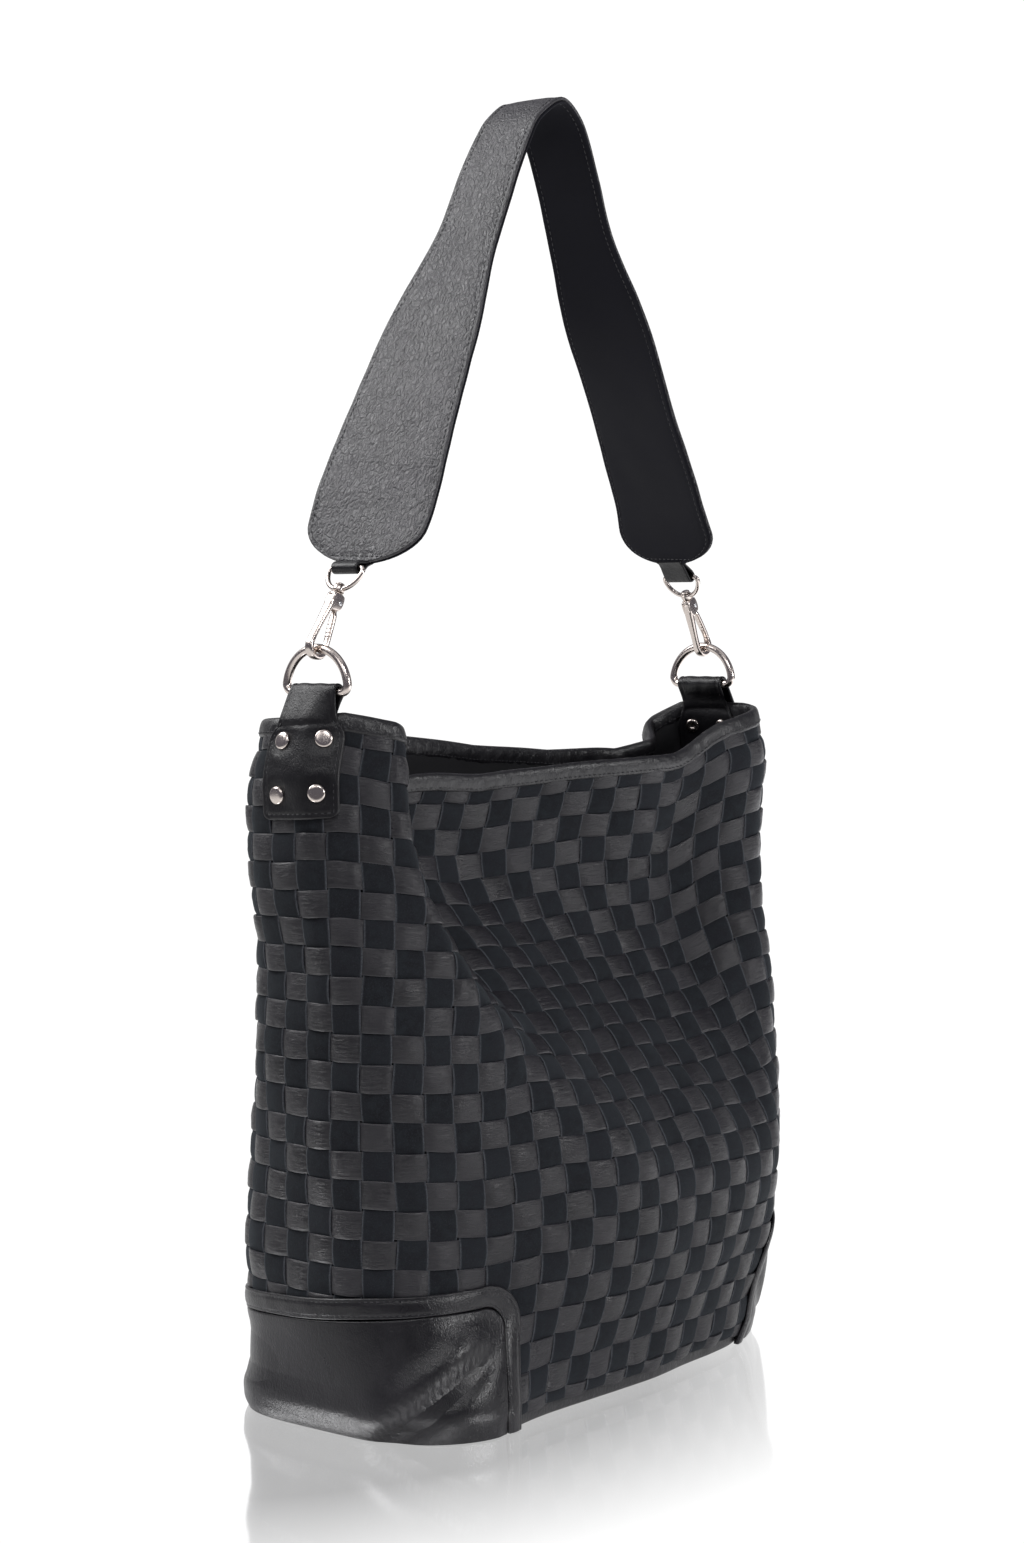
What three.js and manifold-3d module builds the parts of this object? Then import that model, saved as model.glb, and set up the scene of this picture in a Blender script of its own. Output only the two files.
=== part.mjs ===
// A tall woven-leather shoulder bag: a soft body of interlaced strips on a flat leather base,
// leather panels round the two lower ends, a bound rim, and a wide strap that clips to a D-ring
// on each end.  Millimetres, +Z up, long side along X, front towards -Y, origin at the centre
// of the underside of the base.
import * as THREE from 'three';
import { mergeVertices } from 'three/addons/utils/BufferGeometryUtils.js';
import Module from 'manifold-3d';

// ---- driving dimensions -------------------------------------------------------------------
const BASE_HALF_LENGTH = 170;       // plan size of the base, a rounded rectangle
const BASE_HALF_DEPTH = 77;
const WALL_HEIGHT = 376;            // from the base to the rim, measured along the wall
const BINDING_HEIGHT = 8;
const ROLL_HEIGHT = 9;              // rolled leather edge round the base
const GAP = 0.35;                   // clearance kept between pieces that touch

const WEAVE_THICKNESS = 2.4;        // two layers of strip
const LINING_THICKNESS = 0.9;
const LEATHER_THICKNESS = 1.5;
const TAB_THICKNESS = 2.0;

// along the wall, each way from the middle of an end
const CORNER_PANEL_REACHES = { left: 127, right: 109 };
const CORNER_PANEL_HEIGHT = 72;
const CORNER_PANEL_TILT = 0.08;     // its top edge rises this much per mm towards the front
const CORNER_PANEL_RADIUS = 26;
const TRIM_WIDTH = 11;

const RING_X = 169;                 // the D-rings stand in the planes x = -RING_X and +RING_X
const RING_Z = 382;                 // centre of the D-ring's arc, the axis the strap swings on
const RING_RADIUS = 21.5;           // to the middle of the wire
const RING_WIRE = 2.3;              // wire radius
const RING_BAR_Z = 381;
const RING_CORNER = 4;

const TAB_HALF_WIDTH = 22.5;
const TAB_NECK_HALF_WIDTH = 16;
const TAB_DROP = 54;                // how far the tab reaches down from the rim
const RIVET_SIDE = 11.5;              // rivets left and right of the tab's middle
const RIVET_DROPS = [12.5, 40.5];       // rivet rows below the rim
const RIVET_CAP_RADIUS = 4.6;
const RIVET_SHANK_RADIUS = 1.6;

const HOOK_LEAN = THREE.MathUtils.degToRad(29.5);
const HOOK_WIDTH = 5.6;             // across the bag
const HOOK_INNER_RADIUS = 3.9;      // inside of the hook's bend
const HOOK_METAL = 3.2;
const HOOK_PLAY = 0.65;             // under the ring's wire in the hook's bend
const HOOK_Z = RING_Z + RING_RADIUS + HOOK_INNER_RADIUS - RING_WIRE - HOOK_PLAY; // centre of the bend
const HOOK_HEAD_TOP = 31.5;         // along the hook from the centre of its bend
const GATE_PIN = [1.9, 26.3];       // across and along the hook
const GATE_THICKNESS = 2.0;
const EYE_RADIUS = 12;
const EYE_WIRE = 1.35;
const EYE_BAR_DROP = 1;             // from the centre of the eye's arc to its bar
const BOSS_HEIGHT = 3.4;            // of the swivel boss on the eye
const STEM_RADIUS = 1.5;
const LOOP_WIDTH = 19;
const LOOP_BAND = 1.6;              // thickness of the loop's leather

const STRAP_OUTER_THICKNESS = 2.0;
const STRAP_LINING_THICKNESS = 1.4;
const PADDLE_END_LENGTH = 21;       // rounded end of a paddle
// each leg of the strap from the paddle's end to the crown, x outwards and z up
const STRAP_LEGS = {
  left: [
    [139.5, 447.5], [130, 468], [103.5, 526], [65.5, 598], [47, 634], [32, 671], [18, 694], [0, 704.5],
  ],
  right: [
    [137.5, 452.5], [131, 470], [105, 526], [67.5, 598], [47, 634], [28, 671], [14, 695],
  ],
};
// half widths of the strap at distances from its end
const STRAP_HALF_WIDTHS = [
  [40, 38], [60, 37], [90, 34.8], [125, 31.2], [145, 29.2], [165, 25.6], [185, 21.6], [202, 19.8], [216, 19.4],
];
const CROWN_SHIFT = 8;              // the crown sits a little to one side

// ---- materials ----------------------------------------------------------------------------
const leather = { color: 0x1c1a1c, roughness: 0.38, metalness: 0 };
const weave = { color: 0x242629, roughness: 0.62, metalness: 0 };
const cloth = { color: 0x101012, roughness: 0.85, metalness: 0 };
const board = { color: 0x8a7a60, roughness: 0.9, metalness: 0 };
const nickel = { color: 0xcfc8c2, roughness: 0.18, metalness: 1 };
const steel = { color: 0x9a9a9a, roughness: 0.35, metalness: 1 };

const bag = new THREE.Group();

function addPiece(name, geometry, look, parent = bag) {
  const mesh = new THREE.Mesh(geometry, new THREE.MeshStandardMaterial(look));
  mesh.name = name;
  parent.add(mesh);
  return mesh;
}

// ---- geometry helpers ---------------------------------------------------------------------
const V = (x, y, z) => new THREE.Vector3(x, y, z);
const clamp01 = (t) => Math.min(Math.max(t, 0), 1);

function smoothstep(from, to, value) {
  const t = clamp01((value - from) / (to - from));
  return t * t * (3 - 2 * t);
}

function hill(value, centre, spread) {
  return Math.exp(-(((value - centre) / spread) ** 2));
}

function range(from, to, steps) {
  return Array.from({ length: steps + 1 }, (_, i) => from + ((to - from) * i) / steps);
}

// A closed solid through rows of points.  Every row is one closed outline with the same, even
// number of points, ordered there and back, so the two end rows are capped by a strip.
function loft(rows, closed = false) {
  const around = rows[0].length;
  const positions = rows.flat().flatMap((p) => [p.x, p.y, p.z]);
  const triangles = [];
  const quad = (a, b, c, d) => triangles.push(a, b, c, a, c, d);
  const rowPairs = closed ? rows.length : rows.length - 1;
  for (let r = 0; r < rowPairs; r += 1) {
    const here = r * around;
    const next = ((r + 1) % rows.length) * around;
    for (let i = 0; i < around; i += 1) {
      const j = (i + 1) % around;
      quad(here + i, here + j, next + j, next + i);
    }
  }
  if (!closed) {
    const last = (rows.length - 1) * around;
    for (let i = 0; i < around / 2 - 1; i += 1) {
      const k = around - 1 - i;
      quad(i, k, k - 1, i + 1);
      quad(last + i, last + i + 1, last + k - 1, last + k);
    }
  }
  return facingOut(positions, triangles);
}

function facingOut(positions, triangles) {
  const at = (i) => V(positions[3 * i], positions[3 * i + 1], positions[3 * i + 2]);
  let volume = 0;
  for (let t = 0; t < triangles.length; t += 3) {
    volume += at(triangles[t]).dot(at(triangles[t + 1]).cross(at(triangles[t + 2])));
  }
  const ordered = volume > 0 ? triangles : triangles.toReversed();
  const geometry = new THREE.BufferGeometry();
  geometry.setAttribute('position', new THREE.Float32BufferAttribute(positions, 3));
  geometry.setIndex(ordered);
  return geometry;
}

// A sheet of even thickness over a grid of { point, normal }, from offset `inner` to `outer`.
// Both faces split their squares along the same diagonal, so stacked sheets stay parallel.
function sheet(grid, inner, outer, closed = false) {
  const columns = grid[0].length;
  const spots = grid.flat();
  const moved = (offset) => spots.map(
    ({ point, normal }) => point.clone().addScaledVector(normal, offset));
  const positions = [...moved(outer), ...moved(inner)].flatMap((p) => [p.x, p.y, p.z]);
  const triangles = [];
  const at = (r, c) => r * columns + (c % columns);
  const under = (i) => i + spots.length;
  const edge = (a, b) => triangles.push(a, under(a), under(b), a, under(b), b);
  const lastRow = grid.length - 1;
  const squares = closed ? columns : columns - 1;
  for (let c = 0; c < squares; c += 1) {
    for (let r = 0; r < lastRow; r += 1) {
      const [a, b, d, e] = [at(r, c), at(r, c + 1), at(r + 1, c + 1), at(r + 1, c)];
      triangles.push(a, b, d, a, d, e);
      triangles.push(under(a), under(d), under(b), under(a), under(e), under(d));
    }
    edge(at(0, c), at(0, c + 1));
    edge(at(lastRow, c + 1), at(lastRow, c));
  }
  if (!closed) {
    for (let r = 0; r < lastRow; r += 1) {
      edge(at(r + 1, 0), at(r, 0));
      edge(at(r, columns - 1), at(r + 1, columns - 1));
    }
  }
  return facingOut(positions, triangles);
}

// A round wire along a flat path: `across` is the direction square to the path's plane.
function wire(path, radius, across, closed, sides = 8) {
  const rows = path.map((point, i) => {
    const count = path.length;
    const before = closed ? path[(i - 1 + count) % count] : path[Math.max(i - 1, 0)];
    const after = closed ? path[(i + 1) % count] : path[Math.min(i + 1, count - 1)];
    const along = after.clone().sub(before).normalize();
    const outwards = across.clone().cross(along);
    return Array.from({ length: sides }, (_, k) => {
      const angle = ((k + 0.5) * 2 * Math.PI) / sides;
      return point.clone()
        .addScaledVector(across, radius * Math.cos(angle))
        .addScaledVector(outwards, radius * Math.sin(angle));
    });
  });
  return loft(rows, closed);
}

const wasm = await Module();
wasm.setup();

function toSolid(geometry) {
  const bare = new THREE.BufferGeometry();
  bare.setAttribute('position', geometry.getAttribute('position'));
  bare.setIndex(geometry.getIndex());
  const merged = mergeVertices(bare, 1e-4);
  return new wasm.Manifold(new wasm.Mesh({
    numProp: 3,
    vertProperties: new Float32Array(merged.getAttribute('position').array),
    triVerts: new Uint32Array(merged.getIndex().array),
  }));
}

function toGeometry(solid) {
  const mesh = solid.getMesh();
  const geometry = new THREE.BufferGeometry();
  geometry.setAttribute('position', new THREE.Float32BufferAttribute(mesh.vertProperties, 3));
  geometry.setIndex(Array.from(mesh.triVerts));
  return geometry;
}

function cut(geometry, tools) {
  return toGeometry(tools.reduce((solid, tool) => solid.subtract(toSolid(tool)), toSolid(geometry)));
}

function join(geometries) {
  const solids = geometries.map(toSolid);
  return toGeometry(solids.slice(1).reduce((sum, solid) => sum.add(solid), solids[0]));
}

// A cylinder with its middle at `centre` and its axis along `axis`.
function rod(centre, axis, radius, length, sides = 8) {
  const geometry = new THREE.CylinderGeometry(radius, radius, length, sides);
  geometry.applyQuaternion(new THREE.Quaternion().setFromUnitVectors(V(0, 1, 0), axis));
  return geometry.translate(centre.x, centre.y, centre.z);
}

// ---- the soft body's surface --------------------------------------------------------------
// Half length, half depth and squareness of the plain body at height z.
const halfLength = (z) => BASE_HALF_LENGTH + 8 * smoothstep(0, 16, z)
  + 5 * smoothstep(60, 300, z) - 8 * smoothstep(335, 372, z);
const halfDepth = (z) => BASE_HALF_DEPTH + 4 * smoothstep(0, 16, z)
  - 6 * smoothstep(60, 200, z) - 14 * smoothstep(180, 345, z) - 3 * smoothstep(345, 372, z);
const squareness = (z) => 4.2 - 0.9 * smoothstep(120, 372, z);

// The body has slumped: beside a lip at the left its front is folded in, with a valley below the
// mouth and a crest below the valley, and the back of the mouth is pinched towards the front.
function slumpedDepth(x, y, z) {
  const front = smoothstep(-6, 26, -y);
  const back = smoothstep(-6, 26, y);
  const lip = -144 + 46 * (1 - smoothstep(130, 320, z));
  const lipWidth = 44 + 34 * (1 - smoothstep(130, 260, z));
  const scoop = smoothstep(lip, lip + lipWidth, x)
    * (1 - smoothstep(98, 168, x)) * (1 - 0.33 * smoothstep(-60, 110, x));
  const crestHeight = 160 - 52 * smoothstep(-120, 40, x);
  const valleyHeight = 290 - 45 * smoothstep(-40, 80, x);
  const opened = (0.24 + 0.30 * smoothstep(-20, 100, x)) * smoothstep(valleyHeight, 374, z);
  const fold = 72 * smoothstep(crestHeight, valleyHeight, z) * (1 - opened);
  const crest = 14 * hill(z, 112, 70) * smoothstep(-120, -20, x) * (1 - smoothstep(120, 170, x));
  const pinch = (28 * smoothstep(170, 372, z) - 6 * hill(z, 190, 60))
    * smoothstep(-160, -110, x) * (1 - smoothstep(132, 156, x));
  const tuck = 12 * smoothstep(250, 372, z) * smoothstep(100, 150, x);
  // at the floor the near corner is pushed out and the rest of the front drawn in
  const foot = (8 * hill(x, -135, 38) - 4 * smoothstep(10, 60, x) - 3 * smoothstep(100, 140, x))
    * (1 - smoothstep(8, 70, z));
  return y + front * (scoop * fold - crest - foot) - back * (pinch + tuck);
}

// One level of the body: points round it from the middle of the left end, along the front to
// the middle of the right end and back along the back, evenly spaced in each half.
const COLUMNS = 240;
const OUTLINE_STEPS = 360;

function halfLevel(z, fromAngle) {
  const outline = range(fromAngle, fromAngle + Math.PI, OUTLINE_STEPS).map((angle) => {
    const [c, s] = [Math.cos(angle), Math.sin(angle)];
    // above the base the near left corner is rounder than the others
    const nearLeft = smoothstep(-0.25, 0.25, -c) * smoothstep(-0.25, 0.25, -s);
    const power = 2 / (squareness(z) - 1.5 * nearLeft * smoothstep(8, 100, z));
    const x = halfLength(z) * Math.sign(c) * Math.abs(c) ** power;
    const y = halfDepth(z) * Math.sign(s) * Math.abs(s) ** power;
    return V(x, slumpedDepth(x, y, z), z);
  });
  const lengths = [0];
  for (let i = 1; i < outline.length; i += 1) {
    lengths.push(lengths[i - 1] + outline[i].distanceTo(outline[i - 1]));
  }
  let i = 1;
  return Array.from({ length: COLUMNS / 2 }, (_, c) => {
    const wanted = (lengths.at(-1) * 2 * c) / COLUMNS;
    while (lengths[i] < wanted) i += 1;
    const part = (wanted - lengths[i - 1]) / (lengths[i] - lengths[i - 1]);
    return outline[i - 1].clone().lerp(outline[i], part);
  });
}

const bodyLevel = (z) => [...halfLevel(z, Math.PI), ...halfLevel(z, 2 * Math.PI)];

const LEVEL_STEP = 4;
const levels = range(0, 388, 97).map(bodyLevel);
const climbs = Array.from({ length: COLUMNS }, (_, c) => {
  const climb = [0];
  for (let k = 1; k < levels.length; k += 1) {
    climb.push(climb[k - 1] + levels[k][c].distanceTo(levels[k - 1][c]));
  }
  return climb;
});

// The point a distance `up` along the wall in one column.
function columnPoint(column, up) {
  const climb = climbs[column];
  let k = Math.min(Math.floor(up / LEVEL_STEP) + 1, climb.length - 1);
  while (climb[k - 1] > up && k > 1) k -= 1;
  const part = (up - climb[k - 1]) / (climb[k] - climb[k - 1]);
  return levels[k - 1][column].clone().lerp(levels[k][column], part);
}

// The value at `position` in a list of [position, value] pairs, straight between them.
function lookUp(pairs, position) {
  const next = pairs.findIndex(([at]) => at >= position);
  if (next <= 0) return next < 0 ? pairs.at(-1)[1] : pairs[0][1];
  const [[from, low], [to, high]] = [pairs[next - 1], pairs[next]];
  return low + ((high - low) * (position - from)) / (to - from);
}

// How far two soft corners stand out (or in, if negative) at distances up the wall.
const LEANING_CORNERS = [
  {
    around: 0.935,
    spread: 0.075,
    way: V(-0.636, 0.772, 0),
    lean: [[7, 0.5], [28, -5], [49, -5.4], [91, -2.8], [133, -4.4], [217, -5.6], [238, -5.5],
      [259, -3.5], [280, 1.4], [301, 4.2], [365, 5.6]],
  },
  {
    around: 0.435,
    spread: 0.085,
    way: V(0.636, -0.772, 0),
    lean: [[0, -8], [38, -10], [62, -10.5], [87, -8], [111, -4.2], [136, -1], [160, 0.6],
      [233, -3], [257, -3.4], [306, 0], [355, 6]],
  },
];

// How much lower the rim hangs at places round the mouth.
const RIM_DROP = [[0, 5], [0.025, 3], [0.05, 6], [0.075, 8], [0.13, 4], [0.155, 3], [0.21, 8],
  [0.25, 9], [0.42, 9], [0.475, 4], [0.525, 3], [0.55, 12], [0.585, 17], [0.61, 23], [0.68, 24],
  [0.76, 20], [0.84, 12], [0.94, 8], [1, 5]];

// `around` runs 0 to 1 round the body from the middle of the left end, front first.
function bodyPoint(around, up) {
  const turn = around - Math.floor(around);
  const column = turn * COLUMNS;
  const first = Math.floor(column) % COLUMNS;
  const second = (first + 1) % COLUMNS;
  const point = columnPoint(first, up).lerp(columnPoint(second, up), column - Math.floor(column));
  for (const corner of LEANING_CORNERS) {
    const away = turn - corner.around;
    const gap = away - Math.round(away);
    point.addScaledVector(corner.way, lookUp(corner.lean, up) * hill(gap, 0, corner.spread));
  }
  point.z -= lookUp(RIM_DROP, turn) * smoothstep(190, 377, up);
  return point;
}

// A point on the smooth surface with the direction square to it.
function smoothSpot(around, up) {
  const side = bodyPoint(around + 0.006, up).sub(bodyPoint(around - 0.006, up));
  const rise = bodyPoint(around, up + 4).sub(bodyPoint(around, Math.max(up - 4, 0)));
  return { point: bodyPoint(around, up), normal: side.cross(rise).normalize() };
}

const PERIMETER = levels[4].reduce(
  (sum, point, c) => sum + point.distanceTo(levels[4][(c + 1) % COLUMNS]), 0);

// The wall is a coarse grid of flat squares, and everything fastened to it follows them.  Its
// rows are closer together above the corner panels, where the body is folded.
const WALL_COLUMNS = 48;
const COLUMN_WIDTH = PERIMETER / WALL_COLUMNS;
const WALL_FOOT = ROLL_HEIGHT + 1.6;
const WALL_TOP = WALL_HEIGHT - BINDING_HEIGHT - 3 * GAP;
const FOLDED_FOOT = 82;
const rowHeights = [
  ...range(WALL_FOOT, FOLDED_FOOT, 2),
  ...range(FOLDED_FOOT, WALL_TOP, 16).slice(1),
];
const gridHeights = [0, ...rowHeights, WALL_HEIGHT];
const gridSpots = gridHeights.map((up) => Array.from(
  { length: WALL_COLUMNS }, (_, c) => smoothSpot(c / WALL_COLUMNS, up)));

function blend(a, b, part) {
  return {
    point: a.point.clone().lerp(b.point, part),
    normal: a.normal.clone().lerp(b.normal, part).normalize(),
  };
}

// The spot on the wall's squares at `around` (0 to 1) and a distance `up` from the base.
function bodySpot(around, up) {
  const column = (around - Math.floor(around)) * WALL_COLUMNS;
  const first = Math.floor(column + 1e-9) % WALL_COLUMNS;
  const part = clamp01(column - first);
  const row = Math.max(gridHeights.findLastIndex((height) => height <= up + 1e-9), 0);
  const next = Math.min(row + 1, gridHeights.length - 1);
  const rise = next > row ? (up - gridHeights[row]) / (gridHeights[next] - gridHeights[row]) : 0;
  const across = (spots) => blend(spots[first], spots[(first + 1) % WALL_COLUMNS], part);
  return blend(across(gridSpots[row]), across(gridSpots[next]), rise);
}

// ---- base -----------------------------------------------------------------------------------
// The base outline moved inwards by `inset`, at height z.
function baseOutline(inset, z, points = 48) {
  return Array.from({ length: points }, (_, i) => {
    const { point, normal } = bodySpot(i / points, 0);
    const flat = V(normal.x, normal.y, 0).normalize();
    return point.clone().addScaledVector(flat, -inset).setZ(z);
  });
}

function basePlate(inset, bottom, thickness) {
  const shape = new THREE.Shape(baseOutline(inset, 0).map((p) => new THREE.Vector2(p.x, p.y)));
  const geometry = new THREE.ExtrudeGeometry(shape, { depth: thickness, bevelEnabled: false });
  return mergeVertices(bareCopy(geometry.translate(0, 0, bottom)), 1e-4);
}

function bareCopy(geometry) {
  const bare = new THREE.BufferGeometry();
  bare.setAttribute('position', geometry.getAttribute('position'));
  if (geometry.getIndex()) bare.setIndex(geometry.getIndex());
  return bare;
}

addPiece('base_panel', basePlate(4.4, 0, 2.2), leather);
addPiece('base_board', basePlate(5.6, 2.6, 2.0), board);

// inset and height of each corner of the rolled edge's section
const ROLL_SECTION = [[4, 0], [0.4, 0], [-1.4, 2.2], [-1.8, 5.4], [-1.0, ROLL_HEIGHT], [4, ROLL_HEIGHT]];
const rollRings = ROLL_SECTION.map(([inset, z]) => baseOutline(inset, z));
const rollRows = rollRings[0].map((_, i) => rollRings.map((ring) => ring[i]));
addPiece('base_roll', loft(rollRows, true), leather);

// ---- walls, lining and binding ---------------------------------------------------------------
// A stretch of wall between two columns, kept clear of its neighbours at both edges.
function wallStretch(fromColumn, toColumn, inner, outer) {
  const trim = GAP / PERIMETER;
  const stops = range(fromColumn, toColumn, toColumn - fromColumn).map((c) => c / WALL_COLUMNS);
  stops[0] += trim;
  stops[stops.length - 1] -= trim;
  return sheet(rowHeights.map((up) => stops.map((around) => bodySpot(around, up))), inner, outer);
}

// The middle of a tab, as a part of the way round the body.
const tabMiddle = (side) => (side < 0 ? 0.002 : 0.503);

function rivetSpots(side) {
  const middle = tabMiddle(side);
  const spots = [];
  for (const drop of RIVET_DROPS) {
    for (const across of [-RIVET_SIDE, RIVET_SIDE]) {
      spots.push(bodySpot(middle + across / PERIMETER, WALL_HEIGHT - drop));
    }
  }
  return spots;
}

const rivetHoles = (side) => rivetSpots(side).map(
  ({ point, normal }) => rod(point, normal, RIVET_SHANK_RADIUS + GAP, 20));

const HALF_WEAVE = WEAVE_THICKNESS / 2;
const walls = [
  ['left_woven_wall', -4, 4, -1],
  ['front_woven_wall', 4, 20, 0],
  ['right_woven_wall', 20, 28, 1],
  ['back_woven_wall', 28, 44, 0],
];
for (const [name, from, to, side] of walls) {
  const plain = wallStretch(from, to, -HALF_WEAVE, HALF_WEAVE);
  addPiece(name, side === 0 ? plain : cut(plain, rivetHoles(side)), weave);
}

// A closed belt round the body through the given heights.
function belt(heights, inner, outer) {
  const grid = heights.map((up) => Array.from(
    { length: WALL_COLUMNS }, (_, c) => bodySpot(c / WALL_COLUMNS, up)));
  return sheet(grid, inner, outer, true);
}

const LINING_OUTER = -HALF_WEAVE - GAP;
const LINING_INNER = LINING_OUTER - LINING_THICKNESS;
const liningWalls = belt(rowHeights, LINING_INNER, LINING_OUTER);
addPiece('lining_walls', cut(liningWalls, [...rivetHoles(-1), ...rivetHoles(1)]), cloth);
addPiece('lining_base', basePlate(6.4, 5.0, 1.0), cloth);
const bindingHeights = range(WALL_HEIGHT - BINDING_HEIGHT, WALL_HEIGHT, 1);
addPiece('rim_binding', belt(bindingHeights, LINING_INNER, 1.5), leather);

// ---- leather corner panels and their trim ------------------------------------------------------
// Height of an arch-cornered outline at a distance `away` from the middle of the panel.
function archHeight(away, reach, height, radius) {
  const past = Math.max(Math.abs(away) - (reach - radius), 0);
  return height - radius + Math.sqrt(Math.max(radius ** 2 - past ** 2, 0));
}

const PANEL_INNER = HALF_WEAVE + 2.6 * GAP;
const PANEL_OUTER = PANEL_INNER + LEATHER_THICKNESS;
const PANEL_FOOT = ROLL_HEIGHT + 2.2;
const innerHeight = CORNER_PANEL_HEIGHT - TRIM_WIDTH;
const innerRadius = CORNER_PANEL_RADIUS - TRIM_WIDTH;

const panelReach = (side) => CORNER_PANEL_REACHES[side < 0 ? 'left' : 'right'];
// The whole columns of the wall behind a panel, short of its rounded corners.
const panelColumns = (side) => (side < 0 ? 5 : 4);

// How much higher than its middle a panel's top edge is at a distance `away` along the wall.
const tilt = (side, away) => -side * CORNER_PANEL_TILT * away;

function cornerPanel(side) {
  const middle = side < 0 ? 0 : 0.5;
  const reach = panelReach(side) - TRIM_WIDTH - GAP;
  const rounded = [0, 1.5, 5, 10].map((step) => reach - step);
  const most = panelColumns(side);
  const flat = range(-most, most, 2 * most).map((column) => column * COLUMN_WIDTH);
  const stops = [...rounded.map((away) => -away), ...flat, ...rounded.toReversed()];
  const columns = stops.map((away) => {
    const top = archHeight(away, reach, innerHeight - GAP, innerRadius) + tilt(side, away);
    return [PANEL_FOOT, 26, rowHeights[1], top].map((up) => Math.min(up, top))
      .map((up) => bodySpot(middle + away / PERIMETER, up));
  });
  return sheet(columns, PANEL_INNER, PANEL_OUTER);
}

// One side of the trim's outer edge, from its foot up and round the corner.  `way` is -1 or 1
// along the wall, and inX and inZ point from the edge into the panel.
function trimSide(side, way) {
  const reach = panelReach(side);
  const arcFoot = CORNER_PANEL_HEIGHT - CORNER_PANEL_RADIUS;
  const bend = rowHeights[1];
  const straight = arcFoot + tilt(side, way * reach) > bend + 1 ? [28, bend] : [20, 28];
  return [
    ...[PANEL_FOOT, ...straight].map(
      (up) => ({ away: way * reach, up, inX: -way, inZ: 0, tilted: 0 })),
    ...range(0, Math.PI / 2, 5).map((angle) => ({
      away: way * (reach - CORNER_PANEL_RADIUS * (1 - Math.cos(angle))),
      up: arcFoot + CORNER_PANEL_RADIUS * Math.sin(angle),
      inX: -way * Math.cos(angle),
      inZ: -Math.sin(angle),
      tilted: 1,
    })),
  ];
}

function cornerTrim(side) {
  const middle = side < 0 ? 0 : 0.5;
  const most = panelColumns(side);
  const top = range(-most, most, 2 * most).map((column) => (
    { away: column * COLUMN_WIDTH, up: CORNER_PANEL_HEIGHT, inX: 0, inZ: -1, tilted: 1 }));
  const walk = [...trimSide(side, -1), ...top, ...trimSide(side, 1).toReversed()];
  const rows = walk.map(({ away, up, inX, inZ, tilted }) => (
    [0, TRIM_WIDTH / 2, TRIM_WIDTH].map((in_) => {
      const spot = away + inX * in_;
      return bodySpot(middle + spot / PERIMETER, up + inZ * in_ + tilted * tilt(side, spot));
    })));
  return sheet(rows, PANEL_INNER, PANEL_OUTER);
}

// ---- tabs, D-rings and rivets ------------------------------------------------------------------
// The tab is one strap of leather: up the outside of the wall, over the ring's bar and down
// the inside.
const TAB_HALF = TAB_THICKNESS / 2;
const TAB_OUTSIDE = 1.5 + 2 * GAP + TAB_HALF;
const TAB_INSIDE = LINING_INNER - 2 * GAP - TAB_HALF;
const TAB_LOOP_RADIUS = RING_WIRE + GAP + TAB_HALF;

function tabHalfWidth(drop) {
  return THREE.MathUtils.lerp(TAB_NECK_HALF_WIDTH, TAB_HALF_WIDTH, smoothstep(-2, 13, drop));
}

function tabLeg(side, offset) {
  const middle = tabMiddle(side);
  const wallRows = rowHeights.slice(-3).map((up) => WALL_HEIGHT - up);
  // where the wall bends between its squares
  const bendAt = (column) => ((side < 0 ? 0 : 0.5) - middle) * PERIMETER + column * COLUMN_WIDTH;
  return [TAB_DROP, TAB_DROP - 4, ...wallRows, 4, 0].map((drop) => {
    const corner = 3 * smoothstep(TAB_DROP - 4, TAB_DROP, drop);
    const half = tabHalfWidth(drop) - corner;
    const stops = [
      -half, Math.max(bendAt(-1), 2 - half), bendAt(0), Math.min(bendAt(1), half - 2), half];
    return stops.map((across) => {
      const { point, normal } = bodySpot(middle + across / PERIMETER, WALL_HEIGHT - drop);
      return point.addScaledVector(normal, offset);
    });
  });
}

function tabLoop(side) {
  const acrossStops = range(-TAB_NECK_HALF_WIDTH, TAB_NECK_HALF_WIDTH, 4);
  return range(Math.PI, -0.7, 7).map((angle) => acrossStops.map((across) => V(
    side * (RING_X - TAB_LOOP_RADIUS * Math.cos(angle)),
    across,
    RING_BAR_Z + TAB_LOOP_RADIUS * Math.sin(angle))));
}

// Turns a grid of points into spots by taking the normal from the neighbouring points.
function withNormals(grid) {
  return grid.map((row, r) => row.map((point, c) => {
    const along = grid[Math.min(r + 1, grid.length - 1)][c].clone()
      .sub(grid[Math.max(r - 1, 0)][c]);
    const across = row[Math.min(c + 1, row.length - 1)].clone().sub(row[Math.max(c - 1, 0)]);
    return { point, normal: across.cross(along).normalize() };
  }));
}

function tab(side) {
  const loop = tabLoop(side);
  const outside = tabLeg(side, TAB_OUTSIDE);
  const inside = tabLeg(side, TAB_INSIDE).toReversed();
  const sameWay = (row) => (row[0].y > row.at(-1).y ? row : row.toReversed());
  const grid = [...outside, ...loop, ...inside].map(sameWay);
  return cut(sheet(withNormals(grid), -TAB_HALF, TAB_HALF), rivetHoles(side));
}

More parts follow.
